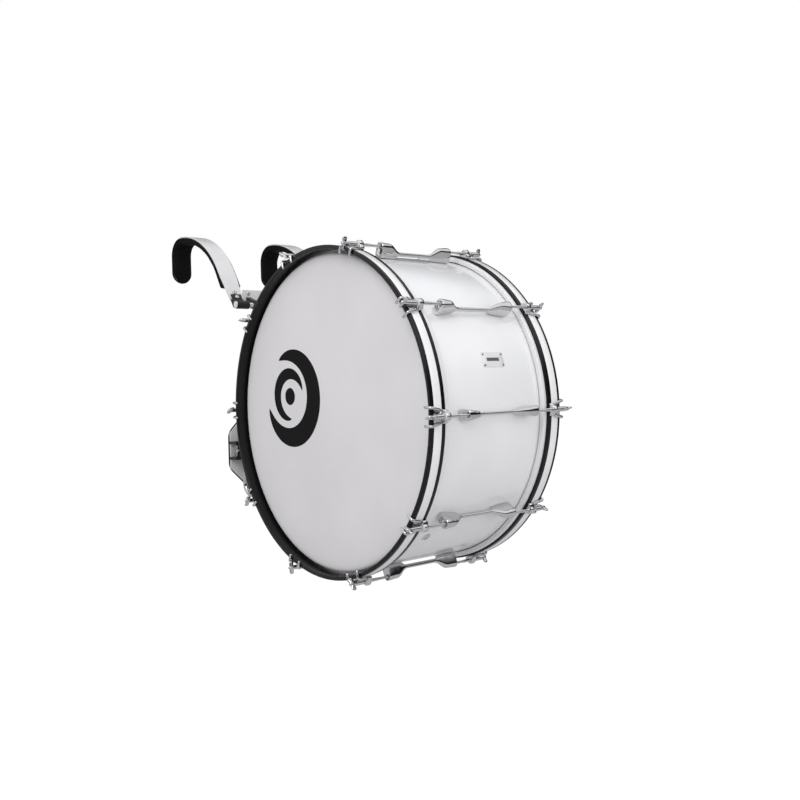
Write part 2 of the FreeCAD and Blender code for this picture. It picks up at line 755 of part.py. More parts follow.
def make_hinge_ear(side):
    """The frame's hinge ear: it holds the tube's end, stands behind the crossbar and grips the pin."""
    x0, x1 = ear_inner_face, ear_outer_face
    boss_radius = tube_radius + ear_tube_boss
    pivot = rod(ear_pivot_radius, Vector(x0, pivot_y, pivot_z), Vector(x1, pivot_y, pivot_z))
    boss = rod(boss_radius, Vector(x0, tube_y, tube_z), Vector(x1, tube_y, tube_z))
    direction = Vector(0, tube_y - pivot_y, tube_z - pivot_z).normalize()
    normal = Vector(0, -direction.z, direction.y)
    pivot_point, tube_point = Vector(x0, pivot_y, pivot_z), Vector(x0, tube_y, tube_z)
    corners = [pivot_point + normal * ear_pivot_radius, tube_point + normal * boss_radius,
               tube_point - normal * boss_radius, pivot_point - normal * ear_pivot_radius]
    web = polygon(corners).extrude(Vector(ear_thickness, 0, 0))
    back = crossbar_front_y + crossbar_thickness
    tab = box(x0, x1, back, back + ear_tab_thickness, tube_z, spine_top_z - ear_tab_drop)
    ear = pivot.fuse(boss).fuse(web).fuse(tab)
    ear = ear.cut(rod(pin_radius, Vector(x0 - 1, pivot_y, pivot_z), Vector(x1 + 1, pivot_y, pivot_z)))
    ear = ear.cut(rod(tube_radius, Vector(x0 - 1, tube_y, tube_z), Vector(x1 - ear_cap, tube_y, tube_z)))
    gap = crossbar_slot_gap
    slot = box(x0 - 1, x1 + 1, crossbar_front_y - gap, back, crossbar_bottom_z() - gap, spine_top_z)
    ear = ear.cut(slot)
    x = (x0 + x1) / 2
    ear = ear.cut(rod(frame_bolt_radius, Vector(x, back - 1, end_bolt_z()),
                      Vector(x, back + frame_bolt_end_depth, end_bolt_z())))
    solids = sorted(ear.Solids, key=lambda solid: solid.Volume)
    return on_side(solids[-1], side)


def make_hinge_pin(side):
    """A headed pin, fixed in the frame's ear, that the shoulder rest's knuckle turns on."""
    inner = ear_inner_face - pin_head_thickness
    outer = knuckle_inner_face + knuckle_length + knuckle_side_gap
    centre = (pivot_y, pivot_z)
    pin = rod(pin_radius, Vector(inner, *centre), Vector(outer + pin_head_thickness, *centre))
    for start in (inner, outer):
        pin = pin.fuse(rod(pin_head_radius, Vector(start, *centre),
                           Vector(start + pin_head_thickness, *centre)))
    return on_side(pin.removeSplitter(), side)


def make_frame_bolt(x, z, y_front, depth):
    """A bolt through the front of the frame, with a round head."""
    head = rod(frame_bolt_head_radius, Vector(x, y_front - frame_bolt_head_height, z), Vector(x, y_front, z))
    return head.fuse(rod(frame_bolt_radius, Vector(x, y_front - 1, z), Vector(x, y_front + depth, z)))


# ---- shoulder rests: a bent plate over a pad, held by a forked bracket ----
def strap_point(along, under):
    """A point beside the strap's first straight, so far along it and so far under its outer face."""
    cos, sin = math.cos(strap_angle), math.sin(strap_angle)
    return Vector(0, strap_start_y + along * cos + under * sin, strap_start_z + along * sin - under * cos)


def strap_edges(under, start, tail):
    """The strap's line, offset under its outer face: straight, front arc, back arc and straight tail."""
    first = strap_point(start, under)
    bend = strap_point(strap_straight, under)
    front, back = strap_front_radius - under, strap_back_radius - under
    centre_one = Vector(0, crown_y, crown_z - strap_front_radius)
    crown = centre_one + Vector(0, 0, front)
    mid_angle = math.pi / 2 + strap_angle / 2
    mid_one = centre_one + Vector(0, math.cos(mid_angle), math.sin(mid_angle)) * front
    centre_two = Vector(0, crown_y, crown_z - strap_back_radius)
    mid_two = centre_two + Vector(0, math.sqrt(0.5), math.sqrt(0.5)) * back
    tail_top = centre_two + Vector(0, back, 0)
    tail_end = tail_top - Vector(0, 0, tail)
    return [line_edge(first, bend), arc_edge(bend, mid_one, crown), arc_edge(crown, mid_two, tail_top),
            line_edge(tail_top, tail_end)]


def strap_body(width, thickness, under, start, tail):
    """The band between two offsets of the strap's line, with a round end at the wearer's back."""
    outer = strap_edges(under, start, tail)
    inner = strap_edges(under + thickness, start, tail)
    ends = [line_edge(outer[-1].Vertexes[-1].Point, inner[-1].Vertexes[-1].Point),
            line_edge(outer[0].Vertexes[0].Point, inner[0].Vertexes[0].Point)]
    face = Part.Face(Part.Wire(Part.__sortEdges__(outer + inner + ends)))
    band = face.extrude(Vector(width, 0, 0))
    band.translate(Vector(shoulder_offset - width / 2, 0, 0))
    end_y = crown_y + strap_back_radius - under
    end_z = crown_z - strap_back_radius - tail
    round_end = rod(width / 2, Vector(shoulder_offset, end_y - thickness, end_z),
                    Vector(shoulder_offset, end_y, end_z))
    return band.fuse(round_end).removeSplitter()


def along_strap(x0, x1, start, end, under0, under1):
    """A block that lies along the strap's first straight."""
    corners = [strap_point(start, under0), strap_point(end, under0), strap_point(end, under1),
               strap_point(start, under1)]
    block = polygon(corners).extrude(Vector(x1 - x0, 0, 0))
    block.translate(Vector(x0, 0, 0))
    return block


def across_strap(x, along, radius, under0, under1):
    """A round bar through the strap's first straight."""
    start, end = strap_point(along, under0), strap_point(along, under1)
    start.x = end.x = x
    return rod(radius, start, end)


def make_shoulder_plate(side):
    plate = strap_body(strap_width, strap_thickness, 0, 0, strap_tail)
    narrow = (strap_width - strap_end_width) / 2
    for edge in (-1, 1):
        x_edge = shoulder_offset + edge * strap_width / 2
        low, up = strap_point(-1, -1), strap_point(strap_taper_length, -1)
        corners = [Vector(x_edge - edge * narrow, low.y, low.z), Vector(x_edge + edge, low.y, low.z),
                   Vector(x_edge + edge, up.y, up.z), Vector(x_edge, up.y, up.z)]
        depth = strap_point(0, strap_thickness + 2) - strap_point(0, 0)
        plate = plate.cut(polygon(corners).extrude(depth))
    for place in shoulder_bolt_places:
        plate = plate.cut(across_strap(shoulder_offset, place, shoulder_bolt_radius, -1, strap_thickness + 1))
    return on_side(plate, side)


def make_shoulder_pad(side):
    pad = strap_body(pad_width, pad_thickness, strap_thickness + glue_line, pad_start, pad_tail)
    return on_side(pad, side)


def make_bracket(side):
    """A fork on the strap's end, with the knuckle that turns on the hinge pin."""
    half = bracket_width / 2
    x0, x1 = shoulder_offset - half, shoulder_offset + half
    rear = strap_thickness
    fork = along_strap(x0, x1, -bracket_foot, bracket_front_reach, -bracket_leg, 0)
    fork = fork.fuse(along_strap(x0, x1, -bracket_foot, bracket_rear_reach, rear, rear + bracket_leg))
    fork = fork.fuse(along_strap(x0, x1, -bracket_foot, 0, 0, rear))
    k0, k1 = knuckle_inner_face + knuckle_side_gap, knuckle_inner_face + knuckle_length
    centre = (pivot_y, pivot_z)
    knuckle = rod(knuckle_radius, Vector(k0, *centre), Vector(k1, *centre))
    foot = strap_point(-bracket_foot, rear + bracket_leg)
    heel = strap_point(-bracket_foot / 2, -bracket_leg)
    web = polygon([Vector(x0, pivot_y, pivot_z - knuckle_radius), Vector(x0, foot.y, foot.z),
                   Vector(x0, heel.y, heel.z), Vector(x0, pivot_y, pivot_z + knuckle_radius)])
    bracket = fork.fuse(knuckle).fuse(web.extrude(Vector(bracket_width, 0, 0)))
    bracket = bracket.cut(rod(pin_radius + running_gap, Vector(k0 - 1, *centre), Vector(k1 + 1, *centre)))
    for place in shoulder_bolt_places:
        bracket = bracket.cut(across_strap(shoulder_offset, place, shoulder_bolt_radius, -bracket_leg - 1,
                                           rear + bracket_leg + 1))
    return on_side(bracket.removeSplitter(), side)


def make_shoulder_bolt(place):
    """A round-headed bolt and its nut, through the strap and the bracket."""
    top = -bracket_leg if place < bracket_front_reach else 0.0
    bottom = strap_thickness + bracket_leg
    head = across_strap(shoulder_offset, place, shoulder_bolt_head_radius, top - shoulder_bolt_head_height, top)
    shank = across_strap(shoulder_offset, place, shoulder_bolt_radius, top - 1, bottom + 1)
    nut = across_strap(shoulder_offset, place, shoulder_bolt_head_radius, bottom,
                       bottom + shoulder_bolt_head_height)
    return head.fuse(shank).fuse(nut).removeSplitter()


# ---- write every node ----
os.makedirs("parts", exist_ok=True)

write("shell", make_shell())
lug = make_lug()
claw = make_claw()
write("bridge_lugs", [about_axis(lug, a) for a in lug_angles])
write("swivel_nuts", [about_axis(on_side(make_nut(), side), a) for side in (RIGHT, LEFT) for a in lug_angles])
write("lug_screws", [about_axis(make_lug_screw(x), a) for a in lug_angles for x in lug_screw_places()])
write("claw_hooks", [about_axis(on_side(claw, side), a) for side in (RIGHT, LEFT) for a in lug_angles])
write("rod_washers", [about_axis(on_side(make_washer(), side), a) for side in (RIGHT, LEFT)
                      for a in lug_angles])
write("flesh_hoops", [on_side(make_flesh_hoop(), side) for side in (RIGHT, LEFT)])
write("hoop_inlays", [on_side(make_inlay(), side) for side in (RIGHT, LEFT)])
write("air_vent", make_vent())
write("badge_plate", make_badge())
write("badge_rivets", [make_badge_rivet(x, across) for x, across in badge_rivet_places()])
write("carrier_eyelets", [make_eyelet(side) for side in (RIGHT, LEFT)])
write("eyelet_screws", [make_eyelet_screw(x) for side in (RIGHT, LEFT) for x in eyelet_screw_xs(side)])

for side in (RIGHT, LEFT):
    write(name_of(side) + "_head", on_side(make_head(), side))
    write(name_of(side) + "_hoop", on_side(make_hoop(), side))
    for number, angle in enumerate(lug_angles, 1):
        t_rod = on_side(make_t_rod(wing_turn_step * number), side)
        write("{}_t_rod_{:02d}".format(name_of(side), number), about_axis(t_rod, angle))

write("j_rods", [make_j_rod(side) for side in (RIGHT, LEFT)])
write("j_rod_collars", [make_collar(side) for side in (RIGHT, LEFT)])

write("belly_plate", octagon(belly_width, belly_height, belly_front_y, belly_plate_thickness))
write("belly_pad", octagon(belly_width + 2 * belly_pad_overhang, belly_height + 2 * belly_pad_overhang,
                           belly_front_y + belly_plate_thickness + glue_line, belly_pad_thickness))
write("j_rod_clamps", [make_clamp(side) for side in (RIGHT, LEFT)])
write("spine_slider", make_slider())
write("height_knob", make_height_knob())

write("spine_bar", make_spine())
write("crossbar", make_crossbar())
write("cross_tube", make_cross_tube())
write("hinge_ears", [make_hinge_ear(side) for side in (RIGHT, LEFT)])
write("hinge_pins", [make_hinge_pin(side) for side in (RIGHT, LEFT)])
frame_bolts = [make_frame_bolt(x, spine_bolt_z(), spine_front_y, spine_thickness + crossbar_thickness)
               for x in spine_bolt_xs()]
frame_bolts += [make_frame_bolt(x, end_bolt_z(), crossbar_front_y,
                                crossbar_thickness + frame_bolt_end_depth)
                for x in crossbar_end_bolt_xs()]
write("frame_bolts", frame_bolts)

for side in (RIGHT, LEFT):
    write(name_of(side) + "_wing_screw", make_wing_screw(side))
    write(name_of(side) + "_shoulder_plate", make_shoulder_plate(side))
    write(name_of(side) + "_shoulder_pad", make_shoulder_pad(side))
    write(name_of(side) + "_hinge_bracket", make_bracket(side))
    write(name_of(side) + "_shoulder_bolts", [on_side(make_shoulder_bolt(place), side)
                                              for place in shoulder_bolt_places])

print(len(written), "nodes; origin at", tuple(round(v, 3) for v in ORIGIN))
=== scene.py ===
import math
import bmesh
import bpy
import numpy as np
from mathutils import Matrix, Vector


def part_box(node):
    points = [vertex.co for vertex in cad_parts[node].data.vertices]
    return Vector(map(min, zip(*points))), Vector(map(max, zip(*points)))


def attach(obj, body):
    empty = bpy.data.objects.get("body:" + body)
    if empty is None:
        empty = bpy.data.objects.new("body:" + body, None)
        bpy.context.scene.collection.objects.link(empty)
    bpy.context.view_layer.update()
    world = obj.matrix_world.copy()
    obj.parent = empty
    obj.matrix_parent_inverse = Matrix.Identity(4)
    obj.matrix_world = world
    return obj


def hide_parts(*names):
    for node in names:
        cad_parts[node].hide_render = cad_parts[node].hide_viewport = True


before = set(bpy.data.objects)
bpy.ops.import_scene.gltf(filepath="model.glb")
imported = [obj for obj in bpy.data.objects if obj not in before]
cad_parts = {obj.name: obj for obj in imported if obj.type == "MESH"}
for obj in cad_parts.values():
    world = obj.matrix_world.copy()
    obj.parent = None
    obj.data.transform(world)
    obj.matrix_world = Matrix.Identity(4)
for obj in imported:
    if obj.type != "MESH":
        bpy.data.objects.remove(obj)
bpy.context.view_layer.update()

# ---- Camera, lamps, floor and white room ----
# The drum hangs before a white wall with its striking side turned to the lens, as a shop shows it.
# Two large soft lamps and a pale room light it; a white floor far below keeps its faint shadow.
shell_low, shell_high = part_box("shell")
AXLE = np.array([0.0, (shell_low.y + shell_high.y) / 2, (shell_low.z + shell_high.z) / 2])
MM = 0.001
camera_data = bpy.data.cameras.new("camera")
camera_data.lens, camera_data.sensor_width = 41.585, 36.0
camera_data.clip_end = 200.0
camera = bpy.data.objects.new("camera", camera_data)
bpy.context.scene.collection.objects.link(camera)
bpy.context.scene.camera = camera
ahead = Vector((0.64136, 0.76661, -0.03107)).normalized()
across = ahead.cross(Vector((0.03704, 0.00951, 0.99927))).normalized()
turn = Matrix((across, across.cross(ahead), -ahead)).transposed().to_4x4()
camera.matrix_world = Matrix.Translation(Vector((-1.27309, -2.20624, -0.34376))) @ turn
bpy.context.scene.view_settings.view_transform = "Standard"


def soft_lamp(name, place, target, size, power):
    """A square area lamp at a place, turned to face its target."""
    data = bpy.data.lights.new(name, "AREA")
    data.energy, data.size = power, size
    lamp = bpy.data.objects.new(name, data)
    bpy.context.scene.collection.objects.link(lamp)
    lamp.location = place
    lamp.rotation_euler = (Vector(target) - Vector(place)).to_track_quat("-Z", "Y").to_euler()
    return lamp


middle = Vector((0.0, AXLE[1], AXLE[2]))
soft_lamp("key_lamp", (-1.6, -1.6, 0.9), middle, 1.2, 16)
soft_lamp("fill_lamp", (0.4, -3.4, -0.3), middle, 2.4, 20).visible_glossy = False


class Value:
    """A number or colour in a finish. Arithmetic on it adds a Math node, so 1 - mask works."""

    def __init__(self, finish, socket):
        self.finish, self.socket = finish, socket

    def math(self, operation, *inputs):
        return self.finish.add("ShaderNodeMath", {"operation": operation}, dict(enumerate(inputs)))

    def __add__(self, other):
        return self.math("ADD", self, other)

    def __sub__(self, other):
        return self.math("SUBTRACT", self, other)

    def __rsub__(self, other):
        return self.math("SUBTRACT", other, self)

    def __mul__(self, other):
        return self.math("MULTIPLY", self, other)

    def __abs__(self):
        return self.math("ABSOLUTE", self)

    __radd__, __rmul__ = __add__, __mul__


class Finish:
    """A node tree for one finish. add() puts in a node: its kind, its settings, then the values or
    links of its sockets."""

    def __init__(self, owner):
        owner.use_nodes = True
        self.owner, self.nodes, self.links = owner, owner.node_tree.nodes, owner.node_tree.links

    def add(self, kind, settings=None, sockets=None, out=0):
        node = self.nodes.new(kind)
        for key, value in (settings or {}).items():
            if key == "stops":
                ramp = node.color_ramp.elements
                while len(ramp) < len(value):
                    ramp.new(0.5)
                for element, (place, red, green, blue) in zip(ramp, value):
                    element.position, element.color = place, (red, green, blue, 1.0)
            else:
                setattr(node, key, value)
        self.feed(node, sockets or {})
        return Value(self, node.outputs[out])

    def feed(self, node, sockets):
        for key, value in sockets.items():
            if isinstance(value, Value):
                self.links.new(value.socket, node.inputs[key])
            else:
                node.inputs[key].default_value = value


world = bpy.data.worlds.new("white_room")
bpy.context.scene.world = world
room = Finish(world)
ray = room.add("ShaderNodeLightPath").socket.node.outputs
seen, mirrored_ray = Value(room, ray["Is Camera Ray"]), Value(room, ray["Is Glossy Ray"])
through = Value(room, ray["Is Transmission Ray"])
direction = room.add("ShaderNodeSeparateXYZ", {}, {0: room.add("ShaderNodeTexCoord")}).socket.node.outputs
east, north, up = (Value(room, output) for output in direction)
sky = room.add("ShaderNodeValToRGB", {"stops": [
    (0.0, 0.60, 0.58, 0.60), (0.46, 0.76, 0.74, 0.75), (0.58, 0.88, 0.87, 0.88), (1.0, 0.78, 0.79, 0.82)]},
    {0: up * 0.5 + 0.5})
behind = room.add("ShaderNodeMapRange", {"interpolation_type": "SMOOTHSTEP"},
                  {0: east * 0.64 + north * 0.77, 1: 0.1, 2: 0.85, 3: 0.0, 4: 0.36})
dark_room = room.add("ShaderNodeValToRGB", {"stops": [
    (0.0, 0.02, 0.018, 0.018), (0.50, 0.008, 0.007, 0.007), (0.60, 0.015, 0.012, 0.012),
    (0.66, 0.16, 0.15, 0.15), (0.73, 0.85, 0.85, 0.86), (0.84, 1.0, 1.0, 1.0)]}, {0: (up - behind) * 0.5 + 0.5})
window = room.add("ShaderNodeMapRange", {"interpolation_type": "SMOOTHSTEP"},
                  {0: east * -0.75 + north * 0.66, 1: 0.86, 2: 0.94, 3: 0.0, 4: 1.0})
mirror = room.add("ShaderNodeMix", {"data_type": "RGBA"},
                  {0: window, 6: dark_room, 7: (0.95, 0.95, 0.96, 1)}, 2)
lit = room.add("ShaderNodeMix", {"data_type": "RGBA"}, {0: mirrored_ray, 6: sky, 7: mirror}, 2)
shown = room.add("ShaderNodeMix", {"data_type": "RGBA"}, {0: seen + through, 6: lit, 7: (1, 1, 1, 1)}, 2)
room.feed(room.nodes["Background"], {"Color": shown, "Strength": 1.0})

floor_mesh = bpy.data.meshes.new("floor")
floor_mesh.from_pydata([(x, y, -1.5) for x, y in ((-30, -30), (30, -30), (30, 30), (-30, 30))], [],
                       [(0, 1, 2, 3)])
floor = bpy.data.objects.new("floor", floor_mesh)
bpy.context.scene.collection.objects.link(floor)
floor_paint = Finish(bpy.data.materials.new("floor_paint"))
floor_mesh.materials.append(floor_paint.owner)
floor_paint.feed(floor_paint.nodes["Principled BSDF"], {"Base Color": (0.5, 0.49, 0.5, 1), "Roughness": 0.9,
                                                        "Specular IOR Level": 0.1})
white_glow = floor_paint.add("ShaderNodeEmission", {}, {"Color": (1, 1, 1, 1), "Strength": 1.2})
floor_ray = floor_paint.add("ShaderNodeLightPath").socket.node.outputs
glow_share = (Value(floor_paint, floor_ray["Is Camera Ray"]) * 0.8
              + Value(floor_paint, floor_ray["Is Glossy Ray"]) * 0.1
              + Value(floor_paint, floor_ray["Is Transmission Ray"]) * 0.75)
floor_mix = floor_paint.add("ShaderNodeMixShader", {}, {
    0: glow_share, 1: Value(floor_paint, floor_paint.nodes["Principled BSDF"].outputs[0]), 2: white_glow})
floor_paint.feed(floor_paint.nodes["Material Output"], {"Surface": floor_mix})


# ---- Shell ----
# The drum's body: six plies of birch bent to a tube, wrapped in glossy white plastic sheet.
# Both ends are turned to a rounded bearing edge that the heads are pulled over.
SHELL_R, HALF_DEPTH = (shell_high.z - shell_low.z) / 2 / MM, shell_high.x / MM


def rounded(corners, radius, steps):
    """Each corner P of a closed outline becomes steps points of the parabola through A and B,
    (1-t)^2 A + 2t(1-t) P + t^2 B, where A and B lie on the two sides, radius away from P."""
    corners = np.asarray(corners, float)
    radius = np.broadcast_to(np.asarray(radius, float), len(corners))[:, None]
    before, after = np.roll(corners, 1, 0) - corners, np.roll(corners, -1, 0) - corners
    long_a, long_b = np.linalg.norm(before, axis=1)[:, None], np.linalg.norm(after, axis=1)[:, None]
    a = corners + before / long_a * np.minimum(radius, long_a * 0.48)
    b = corners + after / long_b * np.minimum(radius, long_b * 0.48)
    t = np.linspace(0, 1, steps)[None, :, None]
    curve = (1 - t) ** 2 * a[:, None] + 2 * t * (1 - t) * corners[:, None] + t ** 2 * b[:, None]
    return curve.reshape(-1, 2)


def net(points, along=False):
    """Quads over a grid: point [i, j] joins [i+1, j+1]. Its columns close round; along closes its rows."""
    rows, cols = points.shape[:2]
    i, j = np.arange(rows if along else rows - 1)[:, None], np.arange(cols)[None, :]
    k, m = (i + 1) % rows, (j + 1) % cols
    quads = np.stack([i * cols + j, k * cols + j, k * cols + m, i * cols + m], -1).reshape(-1, 4)
    return points.reshape(-1, 3), quads


def turned(profile, segments, along=False):
    """A profile of (x, r) turned about the drum's axle: point = (x, -r sin a, r cos a)."""
    x, r = np.asarray(profile, float).T
    a = np.linspace(0, 2 * math.pi, segments, endpoint=False)[None, :]
    x, r = x[:, None] + 0 * a, r[:, None] + 0 * a
    return net(np.stack([x, -r * np.sin(a), r * np.cos(a)], -1), along)


def clocked(part, degrees):
    """A part made at the top of the drum, carried round the axle to its place."""
    points, quads = part
    c, s = math.cos(math.radians(degrees)), math.sin(math.radians(degrees))
    return np.stack([points[:, 0], points[:, 1] * c - points[:, 2] * s,
                     points[:, 1] * s + points[:, 2] * c], -1), quads


def handed(part, side):
    """A part made for the left (+X) end, or its mirror image for the right end."""
    points, quads = part
    return (points, quads) if side > 0 else (points * np.array([-1.0, 1.0, 1.0]), quads[:, ::-1])


def smoothed(mesh, finish):
    """A mesh with smooth faces and one finish."""
    mesh.polygons.foreach_set("use_smooth", np.ones(len(mesh.polygons), bool))
    mesh.materials.clear()
    mesh.materials.append(finish.owner)


def settled(mesh, finish, body, nodes, sharp):
    """An object for a finished mesh: smooth but for edges sharper than sharp degrees, riding a body in
    place of CAD nodes."""
    smoothed(mesh, finish)
    mesh.set_sharp_from_angle(angle=math.radians(sharp))
    thing = bpy.data.objects.new(mesh.name, mesh)
    bpy.context.scene.collection.objects.link(thing)
    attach(thing, body)
    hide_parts(*nodes)
    return thing


def piece(name, parts, finish, body, stands_for, sharp=35):
    """One mesh from parts in millimetres about the drum's middle, set in the row's frame. stands_for is
    the CAD node that it replaces, or empty where it is a detail on another piece."""
    points = np.concatenate([p for p, q in parts]) * MM + AXLE
    starts = np.cumsum([0] + [len(p) for p, q in parts[:-1]])
    quads = np.concatenate([q + s for (p, q), s in zip(parts, starts)])
    mesh = bpy.data.meshes.new(name)
    mesh.from_pydata(points, [], quads.tolist())
    work = bmesh.new()
    work.from_mesh(mesh)
    bmesh.ops.remove_doubles(work, verts=work.verts, dist=2e-6)
    bmesh.ops.recalc_face_normals(work, faces=work.faces)
    work.to_mesh(mesh)
    work.free()
    return settled(mesh, finish, body, [stands_for] if stands_for else [], sharp)


class Paint(Finish):
    """A finish with a Principled shader. Its patterns lie on Object coordinates, centred on the axle."""

    def __init__(self, name, **sockets):
        super().__init__(bpy.data.materials.new(name))
        self.shader = self.nodes["Principled BSDF"]
        self.finish(**sockets)
        place = self.add("ShaderNodeTexCoord", out=3)
        self.place = self.add("ShaderNodeMapping", {}, {"Vector": place, "Location": tuple(-AXLE)})
        self.axes = self.add("ShaderNodeSeparateXYZ", {}, {0: self.place}).socket.node.outputs

    def axis(self, index):
        return Value(self, self.axes[index])

    def radius(self):
        """Distance from the axle: sqrt(y^2 + z^2)."""
        squares = self.axis(1) * self.axis(1) + self.axis(2) * self.axis(2)
        return squares.math("SQRT", squares)

    def noise(self, scale, detail=3.0, rough=0.5, place=None):
        return self.add("ShaderNodeTexNoise", {}, {"Vector": place or self.place, "Scale": scale,
                                                   "Detail": detail, "Roughness": rough})

    def ranged(self, value, low, high, to_low=0.0, to_high=1.0):
        return self.add("ShaderNodeMapRange", {"interpolation_type": "SMOOTHSTEP"},
                        {0: value, 1: low, 2: high, 3: to_low, 4: to_high})

    def mixed(self, share, first, second):
        return self.add("ShaderNodeMix", {"data_type": "RGBA"}, {0: share, 6: first, 7: second}, 2)

    def bump(self, height, strength, distance):
        return self.add("ShaderNodeBump", {}, {"Height": height, "Strength": strength, "Distance": distance})

    def finish(self, **sockets):
        """Sets or links the shader's own sockets; Base_Color stands for Base Color."""
        self.feed(self.shader, {key.replace("_", " "): value for key, value in sockets.items()})


wrap_white = Paint("wrap_white", Coat_Roughness=0.04, Specular_IOR_Level=0.5)
dust = wrap_white.noise(9.0, 4.0)
ripple = wrap_white.noise(160.0, 2.0)
wrap_white.finish(
    Base_Color=wrap_white.mixed(wrap_white.ranged(dust, 0.35, 0.7),
                                (0.80, 0.805, 0.815, 1), (0.765, 0.77, 0.78, 1)),
    Roughness=wrap_white.ranged(dust, 0.3, 0.75, 0.16, 0.26),
    Coat_Weight=wrap_white.ranged(dust, 0.2, 0.8, 0.5, 0.3),
    Normal=wrap_white.bump(ripple, 0.05, 0.0004))
WALL, EDGE = 6, 3
wall = rounded([(HALF_DEPTH, SHELL_R - EDGE), (HALF_DEPTH - EDGE, SHELL_R), (EDGE - HALF_DEPTH, SHELL_R),
                (-HALF_DEPTH, SHELL_R - EDGE), (EDGE - HALF_DEPTH, SHELL_R - WALL),
                (HALF_DEPTH - EDGE, SHELL_R - WALL)], 1.2, 4)
piece("drum_shell", [turned(wall, 320, True)], wrap_white, "drum", "shell")

# ---- Lug screws and swivel nuts ----
# Steel pan-head screws hold each lug from inside the shell, and a brass nut floats in each lug end.
# They stay as the CAD has them, out of sight, with a plated finish.
zinc_plate = Paint("zinc_plate", Metallic=1.0)
zinc_plate.finish(Base_Color=zinc_plate.mixed(zinc_plate.noise(60.0),
                                              (0.52, 0.53, 0.55, 1), (0.66, 0.67, 0.69, 1)),
                  Roughness=zinc_plate.ranged(zinc_plate.noise(220.0), 0.3, 0.7, 0.28, 0.42))
nut_brass = Paint("nut_brass", Metallic=1.0)
nut_brass.finish(Base_Color=nut_brass.mixed(nut_brass.noise(90.0),
                                            (0.71, 0.50, 0.22, 1), (0.80, 0.60, 0.30, 1)),
                 Roughness=nut_brass.ranged(nut_brass.noise(300.0), 0.3, 0.7, 0.22, 0.38))


def refinish(node, finish):
    """Gives a CAD node that keeps its own shape a finish."""
    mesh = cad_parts[node].data
    mesh.materials.clear()
    mesh.materials.append(finish.owner)


for node in ("lug_screws", "eyelet_screws"):
    refinish(node, zinc_plate)
refinish("swivel_nuts", nut_brass)

# ---- Flesh hoops ----
# A light metal ring grips the edge of each film; the wooden hoop presses on it.
# Rolled aluminium channel, pale and satin.
HOOP_IN, HOOP_OUT = 139.5, 175.5
RING_LOW, RING_TOP = 331, 341
rolled_aluminium = Paint("rolled_aluminium", Metallic=0.35)
brushed = rolled_aluminium.noise(40.0, 5.0, 0.7, rolled_aluminium.add(
    "ShaderNodeMapping", {}, {"Vector": rolled_aluminium.place, "Scale": (30.0, 1.0, 1.0)}))
rolled_aluminium.finish(Base_Color=rolled_aluminium.mixed(brushed,
                                                          (0.80, 0.80, 0.81, 1), (0.90, 0.90, 0.91, 1)),
                        Roughness=rolled_aluminium.ranged(brushed, 0.3, 0.7, 0.5, 0.62),
                        Normal=rolled_aluminium.bump(brushed, 0.1, 0.0003))
ring = rounded([(HOOP_IN, RING_LOW + 1.2), (HOOP_IN, RING_TOP), (HOOP_IN - 10, RING_TOP),
                (HOOP_IN - 10, RING_LOW), (HOOP_IN - 1, RING_LOW)], 1.8, 5)
piece("flesh_rings", [handed(turned(ring, 256, True), side) for side in (-1, 1)], rolled_aluminium, "drum",
      "flesh_hoops")

# ---- Heads ----
# Two-ply polyester film with a sprayed matt white coat, heat-formed with a collar.
# The film rolls over the shell's bearing edge and runs down to its flesh hoop.
coated_film = Paint("coated_film", Specular_IOR_Level=0.35)
rim = coated_film.radius()
grain = coated_film.noise(1500.0, 2.0)
cloud = coated_film.noise(5.0, 3.0)
coated_film.finish(
    Base_Color=coated_film.mixed(coated_film.ranged(cloud, 0.3, 0.7),
                                 (0.765, 0.755, 0.76, 1), (0.725, 0.715, 0.72, 1)),
    Roughness=coated_film.ranged(rim, 0.318, 0.326, 0.62, 0.4),
    Normal=coated_film.bump(grain, 0.12, 0.0003))
film_out = [(153.75, 0), (153.75, 100), (153.75, 200), (153.75, 290), (153.75, 316), (153.7, 323),
            (153.1, 326.5), (151.6, 329.4), (149.6, 330.9), (147, 331.25), (140, 331.25), (134.6, 331.25)]
film_in = [(134.6, 330.75), (140, 330.75), (147, 330.75), (149.2, 330.3), (151.0, 328.8), (152.4, 326.2),
           (153.2, 322), (153.25, 200), (153.25, 0)]
for side, name in ((-1, "right"), (1, "left")):
    piece(name + "_film", [handed(turned(film_out + film_in, 256), side)], coated_film, "drum",
          name + "_head", 60)

# ---- Emblem on the right head ----
# Black ink, screen-printed on the film: two tapered crescents, one inside the other, about a plain disc.
# It stands a hair proud of the film.
printed_black = Paint("printed_black", Specular_IOR_Level=0.08)
ink = printed_black.noise(900.0, 2.0)
printed_black.finish(Base_Color=printed_black.mixed(ink, (0.003, 0.003, 0.003, 1), (0.008, 0.008, 0.009, 1)),
                     Roughness=printed_black.ranged(ink, 0.3, 0.7, 0.42, 0.55))
EMBLEM_Y, EMBLEM_Z = 143.0, 33.0
INK_SLAB = np.array([-153.70, -153.70, -153.84, -153.84])


def crescent(radius, wide, start, end):
    """A tapered arc in the head's plane: at t the line's angle is start + t(end - start), and its
    half width is wide/2 times (4t(1-t))^0.7; a thin slab with its middle line on the circle."""
    t = np.linspace(0, 1, 96)[:, None]
    a = np.radians(start + t * (end - start))
    half = wide / 2 * (4 * t * (1 - t)) ** 0.7
    r = radius + half * np.array([[-1.0, 1.0, 1.0, -1.0]])
    x = INK_SLAB[None, :] + 0 * r
    return net(np.stack([x, EMBLEM_Y + r * np.cos(a), EMBLEM_Z + r * np.sin(a)], -1))


